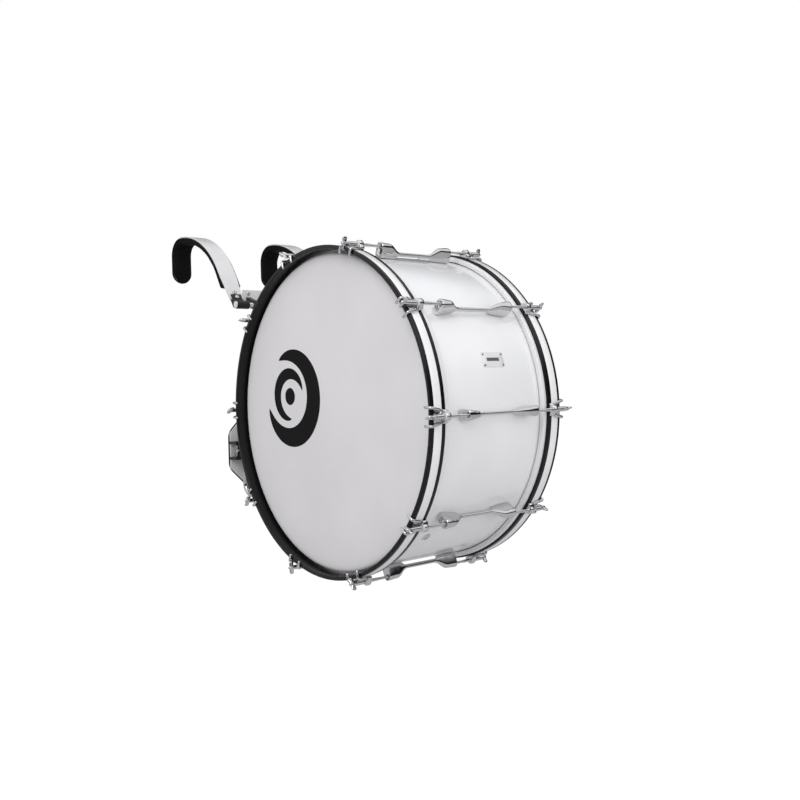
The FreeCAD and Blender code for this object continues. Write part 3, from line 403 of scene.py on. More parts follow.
def disc(radius):
    """A thin round slab in the head's plane, with its rim square."""
    a = np.linspace(0, 2 * math.pi, 64, endpoint=False)[None, :]
    r = np.array([0, radius, radius, 0])[:, None]
    x = INK_SLAB[:, None] + 0 * a
    return net(np.stack([x, EMBLEM_Y + r * np.cos(a), EMBLEM_Z + r * np.sin(a)], -1))


piece("head_emblem", [crescent(90, 50, 62, 342), crescent(50, 28, -95, 165), disc(19)], printed_black,
      "drum", "")

# ---- Counterhoops ----
# Bent maple rings under black lacquer, rubbed thin at the corners.
# Each has a shallow groove round its outside for a strip of white plastic.
black_lacquer = Paint("black_lacquer", Coat_Roughness=0.06, Specular_IOR_Level=0.2)
scuff = black_lacquer.noise(70.0, 6.0, 0.65)
along_axle = abs(black_lacquer.axis(0))
edge = black_lacquer.ranged(along_axle, 0.1738, 0.1755) + black_lacquer.ranged(along_axle, 0.1411, 0.1395)
worn = edge * black_lacquer.ranged(scuff, 0.58, 0.7)
black_lacquer.finish(
    Base_Color=black_lacquer.mixed(worn * 0.5, (0.005, 0.005, 0.005, 1), (0.10, 0.085, 0.07, 1)),
    Roughness=black_lacquer.ranged(scuff, 0.3, 0.75, 0.16, 0.3) + worn * 0.2, Coat_Weight=0.12,
    Normal=black_lacquer.bump(black_lacquer.noise(30.0, 2.0), 0.04, 0.001))
HOOP_LOW, HOOP_TOP = 336.5, 345
GROOVE_IN, GROOVE_OUT, GROOVE_R = 149.3, 168, 344.2
hoop = rounded([(HOOP_IN, HOOP_LOW), (HOOP_OUT, HOOP_LOW), (HOOP_OUT, HOOP_TOP), (GROOVE_OUT, HOOP_TOP),
                (GROOVE_OUT, GROOVE_R), (GROOVE_IN, GROOVE_R), (GROOVE_IN, HOOP_TOP), (HOOP_IN, HOOP_TOP)],
               [2.2, 2.6, 2.6, 0.25, 0.2, 0.2, 0.25, 2.2], 5)
for side, name in ((-1, "right"), (1, "left")):
    piece(name + "_counterhoop", [handed(turned(hoop, 288, True), side)], black_lacquer, "drum",
          name + "_hoop")

# ---- Hoop inlays ----
# White plastic strip laid in the hoops' grooves and glued, flush with the lacquer.
inlay_plastic = Paint("inlay_plastic", Coat_Roughness=0.08)
speck = inlay_plastic.noise(25.0, 4.0)
inlay_plastic.finish(
    Base_Color=inlay_plastic.mixed(inlay_plastic.ranged(speck, 0.3, 0.7),
                                   (0.84, 0.835, 0.84, 1), (0.78, 0.775, 0.775, 1)),
    Roughness=inlay_plastic.ranged(speck, 0.3, 0.7, 0.2, 0.32), Coat_Weight=0.3,
    Normal=inlay_plastic.bump(inlay_plastic.noise(120.0), 0.04, 0.0004))
STRIP_TOP = HOOP_TOP + 0.05
strip = rounded([(GROOVE_IN, GROOVE_R), (GROOVE_OUT, GROOVE_R),
                 (GROOVE_OUT, STRIP_TOP), (GROOVE_IN, STRIP_TOP)], 0.3, 3)
piece("white_inlays", [handed(turned(strip, 288, True), side) for side in (-1, 1)], inlay_plastic, "drum",
      "hoop_inlays")

# ---- Bridge lugs ----
# Ten double-ended lugs of die-cast zinc, polished and chromed, screwed to the shell from inside.
# Each end is a flared housing with a mouth for the tension rod; a slim bar joins the two.
chrome = Paint("chrome", Metallic=1.0)
film = chrome.noise(35.0, 4.0)
chrome.finish(Base_Color=chrome.mixed(film, (0.60, 0.60, 0.61, 1), (0.70, 0.70, 0.71, 1)),
              Roughness=chrome.ranged(film, 0.3, 0.75, 0.04, 0.11),
              Normal=chrome.bump(chrome.noise(90.0, 2.0), 0.03, 0.0005))
ROD_R = 354.0
LUG_END, MOUTH_R = 94.0, 5.6
LUGS = [18.0 + 36.0 * k for k in range(10)]


def eased(x, low, high):
    """0 below low, 1 above high, and 3t^2 - 2t^3 between."""
    t = np.clip((x - low) / (high - low), 0, 1)
    return t * t * (3 - 2 * t)


def lug():
    """Sections along X, each two half curves that meet at its waist: y = w sgn(cos v)|cos v|^p and
    z = waist + rise sgn(sin v)|sin v|^q. Width, top, waist and foot ease from the bar out to the
    housing, whose back is rounder than its foot; the ends turn into a round pocket."""
    v = np.linspace(0, 2 * math.pi, 44, endpoint=False)[None, :]
    lips = np.array([1.0, 0.4, 0.0])
    between = np.linspace(2 - LUG_END, LUG_END - 2, 93)
    x = np.concatenate([lips[::-1] - LUG_END, between, LUG_END - lips])[:, None]
    away = np.abs(x)
    housing = eased(away, 40, 66)
    lip = 0.9 * eased(away, LUG_END - 1.4, LUG_END) ** 2
    width = 3.3 + 3.9 * housing + 3.8 * eased(away, 58, 93) - lip
    top = 344.8 + 15.9 * eased(away, 39, 71) + 1.3 * eased(away, 70, 92) - lip
    foot = 336.0 - 5.75 * eased(away, 42, 52) + lip * 0.2
    waist = (top + foot) / 2 + 3.0 * housing
    c, s = np.cos(v), np.sin(v)
    y = width * np.sign(c) * np.abs(c) ** (0.8 - 0.15 * housing)
    back = (top - waist) * np.abs(s) ** (0.8 - 0.02 * housing)
    under = (foot - waist) * np.abs(s) ** (0.8 - 0.5 * housing)
    z = waist + np.where(s > 0, back, under)
    body = np.stack([x + 0 * v, y, z], -1)
    pocket_x = np.array([[LUG_END - 0.2], [LUG_END - 0.8], [68.0], [68.0]])
    pocket_r = np.array([[MOUTH_R + 0.5], [MOUTH_R], [MOUTH_R], [0]])
    pocket = np.stack([pocket_x + 0 * v, pocket_r * c, ROD_R + pocket_r * s], -1)
    start = (pocket * np.array([-1.0, 1.0, 1.0]))[::-1]
    return net(np.concatenate([start, body, pocket]))


one_lug = lug()
piece("chrome_lugs", [clocked(one_lug, a) for a in LUGS], chrome, "drum", "bridge_lugs", 50)

# ---- Claw hooks and washers ----
# Twenty chromed steel claws: a bored block behind the hoop and two round prongs that spread
# over the hoop and hook down its face. A nylon washer lies between block and rod.


def tube(path, radii, across, sides):
    """A round bar along a path: at each point a circle in the plane square to the path's direction.
    across is a direction that the path never runs along; the circles start from it."""
    path, radii = np.asarray(path, float), np.asarray(radii, float)
    along = np.gradient(path, axis=0)
    u = np.cross(along, across)
    u /= np.linalg.norm(u, axis=1)[:, None]
    w = np.cross(along, u)
    w /= np.linalg.norm(w, axis=1)[:, None]
    v = np.linspace(0, 2 * math.pi, sides, endpoint=False)[None, :, None]
    return net(path[:, None] + radii[:, None, None] * (np.cos(v) * u[:, None] + np.sin(v) * w[:, None]))


def bent(corners, radius, steps):
    """An open path with its inner corners rounded: the parabola of rounded(), in three dimensions."""
    corners = np.asarray(corners, float)
    before, after = corners[:-2] - corners[1:-1], corners[2:] - corners[1:-1]
    a = corners[1:-1] + before / np.linalg.norm(before, axis=1)[:, None] * radius
    b = corners[1:-1] + after / np.linalg.norm(after, axis=1)[:, None] * radius
    t = np.linspace(0, 1, steps)[None, :, None]
    turns = (1 - t) ** 2 * a[:, None] + 2 * t * (1 - t) * corners[1:-1, None] + t ** 2 * b[:, None]
    return np.concatenate([corners[:1], turns.reshape(-1, 3), corners[-1:]])


def prong(side):
    """A bar of radius 3 from the block over the hoop and down its face, with a rounded, thinner tip."""
    y0, y1 = side * 10.0, side * 17.0
    path = bent([(147, y0, 348.4), (178.7, y1, 348.4), (178.7, y1, 333.0)], 5.5, 9)
    tip = path[-1] - np.array([0, 0, 1.0]) * np.array([[0.0], [1.4], [2.3], [2.8], [3.0]])
    path = np.concatenate([path[:1], path[:1] + (path[1:2] - path[:1]) * 0.5, path[1:-1], tip])
    radii = np.full(len(path), 3.0)
    radii[-5:] = [2.8, 2.5, 1.8, 0.9, 0.0]
    radii[0] = 0.0
    return tube(path, radii, (0.0, 1.0, 0.0), 14)


def claw():
    """The block: rows of a closed outline about the rod's line, from the bore out and back to the bore."""
    outline = rounded([(-13, 345.3), (13, 345.3), (13, 351), (8.6, 355), (7.2, 360), (0, 363.4), (-7.2, 360),
                       (-8.6, 355), (-13, 351)], 2.6, 5)
    angle = np.arctan2(outline[:, 1] - ROD_R, outline[:, 0])
    bore = np.stack([3.6 * np.cos(angle), ROD_R + 3.6 * np.sin(angle)], -1)
    inset = outline + (np.array([[0, ROD_R]]) - outline) * 0.09
    rows = [(141.0, bore), (141.0, inset), (141.9, outline), (150.1, outline), (151.0, inset), (151.0, bore)]
    return net(np.stack([np.insert(section, 0, x, axis=1) for x, section in rows]), True)


def saddle():
    """The thin plate between the prongs, from the block out over the white strip: a rounded tongue."""
    outline = rounded([(149, -8.2), (149, 8.2), (171, 12.2), (171, -12.2)], 3.2, 6)
    centre = np.array([[160.0, 0.0]])
    rows = [(345.35, 0.0), (345.35, 1.0), (346.9, 1.0), (347.3, 0.94), (347.3, 0.0)]
    return net(np.stack([np.insert(centre + (outline - centre) * share, 2, z, axis=1) for z, share in rows]))


one_claw = [claw(), prong(-1), prong(1), saddle()]
piece("claws", [clocked(handed(p, side), a) for side in (-1, 1) for a in LUGS for p in one_claw], chrome,
      "drum", "claw_hooks", 50)
washer_nylon = Paint("washer_nylon", Specular_IOR_Level=0.4)
washer_nylon.finish(Base_Color=washer_nylon.mixed(washer_nylon.noise(80.0), (0.68, 0.68, 0.66, 1),
                                                  (0.76, 0.76, 0.74, 1)),
                    Roughness=washer_nylon.ranged(washer_nylon.noise(200.0), 0.3, 0.7, 0.4, 0.55))
refinish("rod_washers", washer_nylon)

# ---- Tension rods ----
# Twenty turned steel rods, chromed: a rolled thread, a plain shank, a long grip like a drawn drop
# and a flattened cross wing for the fingers. Each screws into the nut in its lug.


def t_rod():
    """The rod: radius r(x) along its line, with a thread r = 2.8 + 0.2 sin(2 pi x/1.25 - v) where bare."""
    v = np.linspace(0, 2 * math.pi, 16, endpoint=False)[None, :]
    thread = np.arange(94.0, 117.0, 0.25)
    tip = np.array([(69, 0), (69, 2.4), (70, 2.9), (93.8, 2.9)])
    grip = np.array([(117.2, 3.0), (119.5, 3.15), (123, 3.45), (151.9, 3.45), (152.6, 3.6), (152.7, 4.4),
                       (153.4, 4.75), (157, 4.8), (163, 4.95), (169, 5.0), (174, 4.9), (178, 4.7), (184, 4.3),
                       (188, 3.9), (189.4, 3.2), (190, 2.0), (190, 0)])
    x = np.concatenate([tip[:, 0], thread, grip[:, 0]])[:, None]
    plain = np.concatenate([tip[:, 1], np.full(len(thread), 2.78), grip[:, 1]])[:, None]
    r = plain + 0.2 * np.sin(2 * math.pi * x / 1.25 - v) * ((x > 93.9) & (x < 117.1))
    return net(np.stack([x + 0 * v, r * np.cos(v), r * np.sin(v)], -1))


def wing():
    """A flat bar across the rod's end: ellipses in X and thickness, widest near the tips and rounded off."""
    reach = 13.9
    z = reach * np.sin(np.linspace(-math.pi / 2, math.pi / 2, 25))[:, None]
    v = np.linspace(0, 2 * math.pi, 20, endpoint=False)[None, :]
    close = np.sqrt(np.clip(1 - (np.abs(z) / reach) ** 6, 0, 1))
    deep = (4.4 + 1.5 * eased(np.abs(z), 3, 10)) * close
    thick = (3.4 - 1.0 * eased(np.abs(z), 2, 9)) * close
    return net(np.stack([183.6 + deep * np.cos(v), thick * np.sin(v), z + 0 * v], -1))


rod_parts = [t_rod(), wing()]
for side, name in ((-1, "right"), (1, "left")):
    for number, angle in enumerate(LUGS, 1):
        spun = [clocked(p, 176.0 * number) for p in rod_parts]
        set_out = [(p + np.array([0, 0, ROD_R]), q) for p, q in spun]
        node = "{}_t_rod_{:02d}".format(name, number)
        piece(node + "_chrome", [clocked(handed(p, side), angle) for p in set_out], chrome, node, node,
              50)

# ---- Air vent ----
# A steel grommet with a rolled flange, pressed through the shell low on its front.
flange = [(323, 4.0), (331.3, 4.0), (331.9, 4.6), (331.95, 6), (331.6, 8.2), (330.7, 9.4), (330.1, 9.5),
          (330.0, 6.0), (323, 6.0)]


def upright(profile, x, y, along):
    """A profile of (z, r) turned about an upright line: point = (x + r cos a, y + r sin a, z)."""
    z, r = np.asarray(profile, float).T[:, :, None]
    a = np.linspace(0, 2 * math.pi, 40, endpoint=False)[None, :]
    return net(np.stack([x + r * np.cos(a), y + r * np.sin(a), z + 0 * a], -1), along)


piece("vent_grommet", [clocked(upright(flange, -88, 0, True), 137)], chrome, "drum", "air_vent", 50)

# ---- Badge and its rivets ----
# A plate of pale brushed metal with one plain dark bar, bent to the shell and held by four dome rivets.
badge_metal = Paint("badge_metal")
stroke = badge_metal.noise(50.0, 4.0, 0.6, badge_metal.add(
    "ShaderNodeMapping", {}, {"Vector": badge_metal.place, "Scale": (1.0, 30.0, 30.0)}))
BADGE_X, BADGE_CLOCK = 15.0, 72.0
off_middle, off_line = abs(badge_metal.axis(0) - BADGE_X * MM), abs(badge_metal.axis(2) - 0.1023)
bar_mark = (badge_metal.ranged(off_middle, 0.0165, 0.0172, 1.0, 0.0)
            * badge_metal.ranged(off_line, 0.0030, 0.0036, 1.0, 0.0))
badge_metal.finish(Base_Color=badge_metal.mixed(bar_mark, badge_metal.mixed(
                       stroke, (0.80, 0.80, 0.81, 1), (0.88, 0.88, 0.89, 1)), (0.16, 0.16, 0.165, 1)),
                   Metallic=0.4 + bar_mark * 0.3,
                   Roughness=badge_metal.ranged(stroke, 0.3, 0.7, 0.35, 0.5),
                   Normal=badge_metal.bump(stroke, 0.08, 0.0002))


def bent_plate(half_x, half_y, inner, outer):
    """A plate with round corners, laid on the shell: across it becomes an angle across / radius."""
    outline = rounded([(-half_x, -half_y), (half_x, -half_y), (half_x, half_y), (-half_x, half_y)], 3.0, 6)
    spread = np.array([0.0, 0.5, 1.0, 1.0, 0.985, 0.5, 0.0])[:, None]
    height = np.array([inner, inner, inner, outer - 0.25, outer, outer, outer])[:, None]
    across = outline[None, :, 1] * spread / inner
    x = BADGE_X + outline[None, :, 0] * spread
    return net(np.stack([x, -height * np.sin(across), height * np.cos(across)], -1))


piece("blank_badge", [clocked(bent_plate(29, 15, 330.05, 331.0), BADGE_CLOCK)], badge_metal, "drum",
      "badge_plate")
dome = [(324.5, 0), (324.5, 1.7), (330.9, 1.75), (331.0, 2.9), (331.25, 2.85), (331.6, 2.2), (331.78, 1.2),
        (331.8, 0)]
RIVET_X, RIVET_TURN = 25.0, math.degrees(11.0 / SHELL_R)
piece("dome_rivets", [clocked(upright(dome, BADGE_X + sx * RIVET_X, 0, False), BADGE_CLOCK - sy * RIVET_TURN)
                      for sx in (-1, 1) for sy in (-1, 1)], chrome, "drum", "badge_rivets")

# ---- Carrier eyelets ----
# Two blocks of black-coated alloy, bolted to the shell from inside on the wearer's side.
# Each drops over the upright tip of a J rod. Their castings have small rounded corners.
black_coat = Paint("black_coat", Specular_IOR_Level=0.35)
orange_peel = black_coat.noise(420.0, 2.0)
handled = black_coat.noise(18.0, 5.0, 0.6)
black_coat.finish(Base_Color=black_coat.mixed(handled, (0.006, 0.006, 0.006, 1), (0.015, 0.015, 0.016, 1)),
                  Roughness=black_coat.ranged(handled, 0.3, 0.75, 0.3, 0.46),
                  Normal=black_coat.bump(orange_peel, 0.2, 0.0003))


def softened(name, node, finish, body, width=0.8, steps=2):
    """A copy of a CAD node's mesh, merged, its flat faces joined, and a bevel run round its edges."""
    sharp = 30
    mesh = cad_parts[node].data.copy()
    mesh.name = name
    work = bmesh.new()
    work.from_mesh(mesh)
    bmesh.ops.remove_doubles(work, verts=work.verts, dist=5e-6)
    bmesh.ops.dissolve_limit(work, angle_limit=math.radians(0.6), verts=work.verts, edges=work.edges)
    bmesh.ops.recalc_face_normals(work, faces=work.faces)
    work.to_mesh(mesh)
    work.free()
    bevel = settled(mesh, finish, body, [node], sharp).modifiers.new("soft_edges", "BEVEL")
    bevel.width, bevel.segments, bevel.limit_method = width * MM, steps, "ANGLE"
    bevel.angle_limit, bevel.harden_normals = math.radians(sharp), True


softened("eyelet_blocks", "carrier_eyelets", black_coat, "drum", 1.0)

# ---- J rods and their collars ----
# Two chromed steel rods, bent twice: a leg held in the belly clamp, a run under the drum and a tip
# that points up. A rubber collar on each tip stops the eyelet.
ROD_X, LEG_Y, TIP_Y, RUN_Z = 116.0, 408.0, 314.0, -208.0
BAR_R, BEND_R = 6.35, 25


def j_rod(side):
    """A bar with two quarter bends and rounded ends: (y, z) = centre + BEND_R (cos a, -sin a) at the
    first bend and centre - BEND_R (sin a, cos a) at the second."""
    x = side * ROD_X
    a = np.linspace(0, math.pi / 2, 14)
    far_y, near_y, centre_z = LEG_Y - BEND_R, TIP_Y + BEND_R, RUN_Z + BEND_R
    bend_one = np.stack([0 * a + x, far_y + BEND_R * np.cos(a), centre_z - BEND_R * np.sin(a)], -1)
    bend_two = np.stack([0 * a + x, near_y - BEND_R * np.sin(a), centre_z - BEND_R * np.cos(a)], -1)
    top = np.array([(x, LEG_Y, -55 - d) for d in (0, 0.25, 0.9, 2.0, 3.2)])
    end = np.array([(x, TIP_Y, -146 - d) for d in (3.2, 2.0, 0.9, 0.25, 0)])
    path = np.concatenate([top, [(x, LEG_Y, -100), (x, LEG_Y, -150)], bend_one, bend_two,
                           [(x, TIP_Y, -165)], end])
    cap = np.array([0, 2.6, 4.6, 5.9, BAR_R])
    return tube(path, np.concatenate([cap, np.full(len(path) - 10, BAR_R), cap[::-1]]), (1.0, 0.0, 0.0), 28)


piece("j_bars", [j_rod(-1), j_rod(1)], chrome, "j_rods", "j_rods", 60)
collar_rubber = Paint("collar_rubber", Specular_IOR_Level=0.3)
collar_rubber.finish(Base_Color=collar_rubber.mixed(collar_rubber.noise(60.0), (0.014, 0.014, 0.014, 1),
                                                    (0.03, 0.03, 0.03, 1)),
                     Roughness=collar_rubber.ranged(collar_rubber.noise(200.0), 0.3, 0.7, 0.6, 0.78),
                     Normal=collar_rubber.bump(collar_rubber.noise(700.0), 0.2, 0.0002))
collar = rounded([(-180.3, 6.4), (-180.3, 11), (-174.3, 11), (-174.3, 6.4)], 1.4, 5)
piece("rubber_collars", [upright(collar, side * ROD_X, TIP_Y, True) for side in (-1, 1)], collar_rubber,
      "j_rods", "j_rod_collars", 50)

# ---- Belly plate, clamps and slider ----
# An eight-sided aluminium plate, powder-coated white, carries the drum's weight to the belly.
# Black alloy clamps and a slide box are bolted to its front.
white_coat = Paint("white_coat", Coat_Roughness=0.2)
peel = white_coat.noise(380.0, 2.0)
mark = white_coat.noise(16.0, 5.0, 0.6)
white_coat.finish(
    Base_Color=white_coat.mixed(white_coat.ranged(mark, 0.35, 0.75),
                                (0.72, 0.71, 0.715, 1), (0.66, 0.65, 0.655, 1)),
    Roughness=white_coat.ranged(mark, 0.3, 0.75, 0.26, 0.4), Coat_Weight=0.2,
    Normal=white_coat.bump(peel, 0.15, 0.0003))
softened("belly_sheet", "belly_plate", white_coat, "belly", 0.9, 3)
softened("clamp_blocks", "j_rod_clamps", black_coat, "belly", 1.0)
softened("slide_box", "spine_slider", black_coat, "belly", 1.2)
softened("right_clamp_wing", "right_wing_screw", chrome, "right_wing_screw", 0.7)
softened("left_clamp_wing", "left_wing_screw", chrome, "left_wing_screw", 0.7)

# ---- Height knob ----
# A moulded black plastic knob with six lobes on a steel stud; it presses on the spine.
knob_plastic = Paint("knob_plastic", Specular_IOR_Level=0.45)
knob_plastic.finish(Base_Color=knob_plastic.mixed(knob_plastic.noise(80.0), (0.012, 0.012, 0.012, 1),
                                                  (0.026, 0.026, 0.026, 1)),
                    Roughness=knob_plastic.ranged(knob_plastic.noise(150.0), 0.3, 0.7, 0.38, 0.52),
                    Normal=knob_plastic.bump(knob_plastic.noise(1200.0), 0.25, 0.0002))
softened("lobed_knob", "height_knob", knob_plastic, "height_knob", 1.2, 3)

# ---- Spine, crossbar and cross tube ----
# A flat bar of white-coated alloy rises from the belly plate to a white crossbar, and a black
# tube behind the crossbar joins the two hinge ears. Round-headed bolts hold them.
softened("spine_flat", "spine_bar", white_coat, "frame", 1.0)
softened("crossbar_flat", "crossbar", white_coat, "frame", 0.8, 3)
tube_low, tube_high = (np.array(corner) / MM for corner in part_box("cross_tube"))
tube_r, tube_half = (tube_high[2] - tube_low[2]) / 2, tube_high[0]
hollow = rounded([(-tube_half, tube_r), (tube_half, tube_r), (tube_half, tube_r - 2),
                  (-tube_half, tube_r - 2)], 0.5, 3)
pipe_points, pipe_quads = turned(hollow, 40, True)
piece("cross_pipe", [(pipe_points + (tube_low + tube_high) / 2 - AXLE / MM, pipe_quads)], black_coat, "frame",
      "cross_tube")
softened("ear_castings", "hinge_ears", black_coat, "frame")
softened("pivot_pins", "hinge_pins", chrome, "frame", 0.8, 3)


def bolt(place, out, head, high, shank, long):
    """A button-head bolt: a dome high*sqrt(1-(r/head)^2) with a six-sided socket, then a plain shank.
    out is the direction its head looks, and place is the middle of the head's seat."""
    v = np.linspace(0, 2 * math.pi, 36, endpoint=False)
    socket = head * 0.46 * math.cos(math.pi / 6) / np.cos((v + math.pi / 6) % (math.pi / 3) - math.pi / 6)
    plain = np.ones_like(v)
    rows = [(-long, 0 * v), (-long, plain * shank), (0, plain * shank), (0, plain * head * 0.97)]
    rows += [(high * h, plain * head * r) for h, r in ((0.2, 1.0), (0.55, 0.96), (0.8, 0.84), (0.95, 0.68))]
    rows += [(high * 0.97, socket * 1.08), (high * 0.9, socket), (high * 0.3, socket * 0.96),
             (high * 0.3, 0 * v)]
    out = np.asarray(out, float) / np.linalg.norm(out)
    a = np.cross(out, [1.0, 0.0, 0.0] if abs(out[0]) < 0.9 else [0.0, 1.0, 0.0])
    a /= np.linalg.norm(a)
    b = np.cross(out, a)
    ring = np.cos(v)[:, None] * a + np.sin(v)[:, None] * b
    return net(np.stack([np.asarray(place) + h * out + r[:, None] * ring for h, r in rows]))


piece("frame_screws", [bolt((sx * 11.0, 398.0, 283.5), (0, -1, 0), 4.5, 2.5, 2.5, 9.5) for sx in (-1, 1)]
      + [bolt((sx * 97.0, 404.0, 281.0), (0, -1, 0), 4.5, 2.5, 2.5, 8.5) for sx in (-1, 1)],
      zinc_plate, "frame", "frame_bolts")

# ---- Hinge brackets and shoulder plates ----
# Each shoulder rest is a bent strap of aluminium, powder-coated white, with a round end.
# A black forked bracket bolted to its front end turns on the frame's pin.
STRAP_X, STRAP_THICK = 135.0, 3.5
SLOPE = math.radians(57.0)
STRAIGHT, FRONT_R, BACK_R, TAIL = 84.6, 232.0, 47.0, 38.0
BEND_ONE, BEND_TWO = FRONT_R * SLOPE, BACK_R * math.pi / 2
TAIL_AT = STRAIGHT + BEND_ONE + BEND_TWO


def strap_line(s, under):
    """The point at length s along the strap's outer line, under mm below it: a straight at 57 degrees,
    an arc of 232, a quarter arc of 47 and a straight tail, each added from the angle turned so far."""
    first = SLOPE - np.clip(s - STRAIGHT, 0, BEND_ONE) / FRONT_R
    second = -np.clip(s - STRAIGHT - BEND_ONE, 0, BEND_TWO) / BACK_R
    lead, tail = np.minimum(s, STRAIGHT), np.maximum(s - TAIL_AT, 0)
    y = (394.0 + lead * math.cos(SLOPE) + FRONT_R * (math.sin(SLOPE) - np.sin(first))
         - BACK_R * np.sin(second))
    z = (266.0 + lead * math.sin(SLOPE) + FRONT_R * (np.cos(first) - math.cos(SLOPE))
         + BACK_R * (np.cos(second) - 1))
    angle = first + second
    return y + under * np.sin(angle), z - tail - under * np.cos(angle)


def strap(width_at, thick, under, start, end, end_radius, corner, rows=150, crown=0.0):
    """Sections along the strap's line: a rounded rectangle width_at(s) by thick. At its tail the width
    follows a half circle, and a first row of no width closes its front. crown bulges the underside."""
    flat = np.linspace(-1, 1, 13)
    arc = np.linspace(0, math.pi / 2, 6)
    side = np.concatenate([flat, np.full(12, 1.0), flat[::-1], np.full(12, -1.0)])
    inset_a = np.concatenate([0 * flat, corner * np.sin(arc), corner * np.cos(arc), 0 * flat,
                              -corner * np.sin(arc), -corner * np.cos(arc)])
    inset_u = np.concatenate([0 * flat, corner * (1 - np.cos(arc)), thick - corner * (1 - np.sin(arc)),
                              0 * flat + thick, thick - corner * (1 - np.cos(arc)),
                              corner * (1 - np.sin(arc))])
    round_off = end_radius * (1 - np.cos(np.linspace(0, math.pi / 2, 22)))
    s = np.concatenate([[start], np.linspace(start, end, rows), end + end_radius - round_off[::-1][1:]])
    s = s[:, None]
    half = width_at(s) / 2
    beyond = np.clip(s - end, 0, end_radius)
    half = np.where(s > end, np.sqrt(np.clip(end_radius ** 2 - beyond ** 2, 0, None)), half)
    half[0] = 0
    shrink = np.clip(half / max(corner, 0.01), 0, 1)
    a = side * np.maximum(half - corner, 0) + inset_a * shrink
    u = inset_u + crown * np.maximum(inset_u / thick, 0) * (1 - (a / np.maximum(half, 0.01)) ** 2) * shrink
    y, z = strap_line(s, under + u)
    return net(np.stack([STRAP_X + a, y, z], -1))


def plate_width(s):
    """37 mm at the bracket, widening evenly to 46 mm over the first 70 mm."""
    return 37.0 + 9.0 * np.clip(s / 70.0, 0, 1)


plate = strap(plate_width, STRAP_THICK, 0.0, 0.0, TAIL_AT + TAIL, 23.0, 1.3)
for side, name in ((-1, "right"), (1, "left")):
    piece(name + "_strap", [handed(plate, side)], white_coat, name + "_shoulder", name + "_shoulder_plate",
          50)
    softened(name + "_fork", name + "_hinge_bracket", black_coat, name + "_shoulder")
    up = np.array([0.0, -math.sin(SLOPE), math.cos(SLOPE)])
    screws = []
    for along, top in ((3.6, -4.0), (20.3, 0.0)):
        y, z = strap_line(np.array([along]), top)
        screws.append(bolt((STRAP_X, y[0], z[0]), up, 5.5, 3.0, 3.0, 7.0 - top))
        y, z = strap_line(np.array([along]), 7.5)
        screws.append(bolt((STRAP_X, y[0], z[0]), -up, 5.4, 3.0, 3.0, 1.0))
    piece(name + "_strap_screws", [handed(p, side) for p in screws], zinc_plate, name + "_shoulder",
          name + "_shoulder_bolts")

# ---- Shoulder and belly pads ----
# Foam wrapped in black padded cloth, glued to the underside of each plate, with a corded seam
# round its edge and sewn channels. The foam pushes the cloth out between its seams.
pad_cloth = Paint("pad_cloth", Sheen_Weight=0.02, Sheen_Roughness=0.5, Specular_IOR_Level=0.08)
warp, weft = (pad_cloth.add("ShaderNodeTexWave", {"bands_direction": way},
                            {"Vector": pad_cloth.place, "Scale": scale, "Distortion": 0.4})
              for way, scale in (("X", 240.0), ("DIAGONAL", 200.0)))
nap = pad_cloth.noise(30.0, 5.0, 0.6)
pad_cloth.finish(Base_Color=pad_cloth.mixed(nap, (0.002, 0.002, 0.002, 1), (0.007, 0.007, 0.008, 1)),
                 Roughness=pad_cloth.ranged(nap, 0.3, 0.75, 0.62, 0.8),
                 Normal=pad_cloth.bump(warp + weft, 0.35, 0.0004))


def spots(mesh):
    """A mesh's points as rows of x, y, z."""
    points = np.empty(len(mesh.vertices) * 3)
    mesh.vertices.foreach_get("co", points)
    return points.reshape(-1, 3)


def moved_to(mesh, points):
    """Gives a mesh's points new places."""
    mesh.vertices.foreach_set("co", points.ravel())
    mesh.update()


def applied(thing):
    """Turns an object's modifiers into its own mesh."""
    bpy.context.view_layer.update()
    thing.data = bpy.data.meshes.new_from_object(thing.evaluated_get(bpy.context.evaluated_depsgraph_get()))
    thing.modifiers.clear()


def stuffed(name, parts, glued, cap, body, stands_for):
    """A closed pad blown up as its foam does it: remeshed at 4 mm, cloth under pressure with the glued
    side held, twenty frames, no point moved further than cap, then one subdivision."""
    pad = piece(name, parts, pad_cloth, body, stands_for, 75)
    remesh = pad.modifiers.new("remesh", "REMESH")
    remesh.mode, remesh.voxel_size = "VOXEL", 0.004
    applied(pad)
    rest = spots(pad.data)
    held = glued((rest - AXLE) / MM)
    group = pad.vertex_groups.new(name="glued")
    group.add(np.nonzero(held)[0].tolist(), 1.0, "ADD")
    cloth = pad.modifiers.new("cloth", "CLOTH")
    cloth.settings.vertex_group_mass = "glued"
    cloth.settings.use_pressure, cloth.settings.uniform_pressure_force = True, 4.0
    cloth.settings.effector_weights.gravity = 0.0
    cloth.settings.quality = 5
    for number in range(1, 21):
        bpy.context.scene.frame_set(number)
    moved = spots(pad.evaluated_get(bpy.context.evaluated_depsgraph_get()).data) - rest
    far = np.linalg.norm(moved, axis=1)[:, None]
    moved *= np.minimum(1, cap * MM / np.maximum(far, 1e-9))
    moved[held] = 0
    pad.modifiers.clear()
    moved_to(pad.data, rest + moved)
    bpy.context.scene.frame_set(1)
    finer = pad.modifiers.new("finer", "SUBSURF")
    finer.levels = finer.render_levels = 1
    applied(pad)
    smoothed(pad.data, pad_cloth)
    return pad


def sewn(pad, groove):
    """Draws the cloth in along its channels: each point moves by groove(point), in mm."""
    points = spots(pad.data)
    moved_to(pad.data, points + groove((points - AXLE) / MM) * MM)


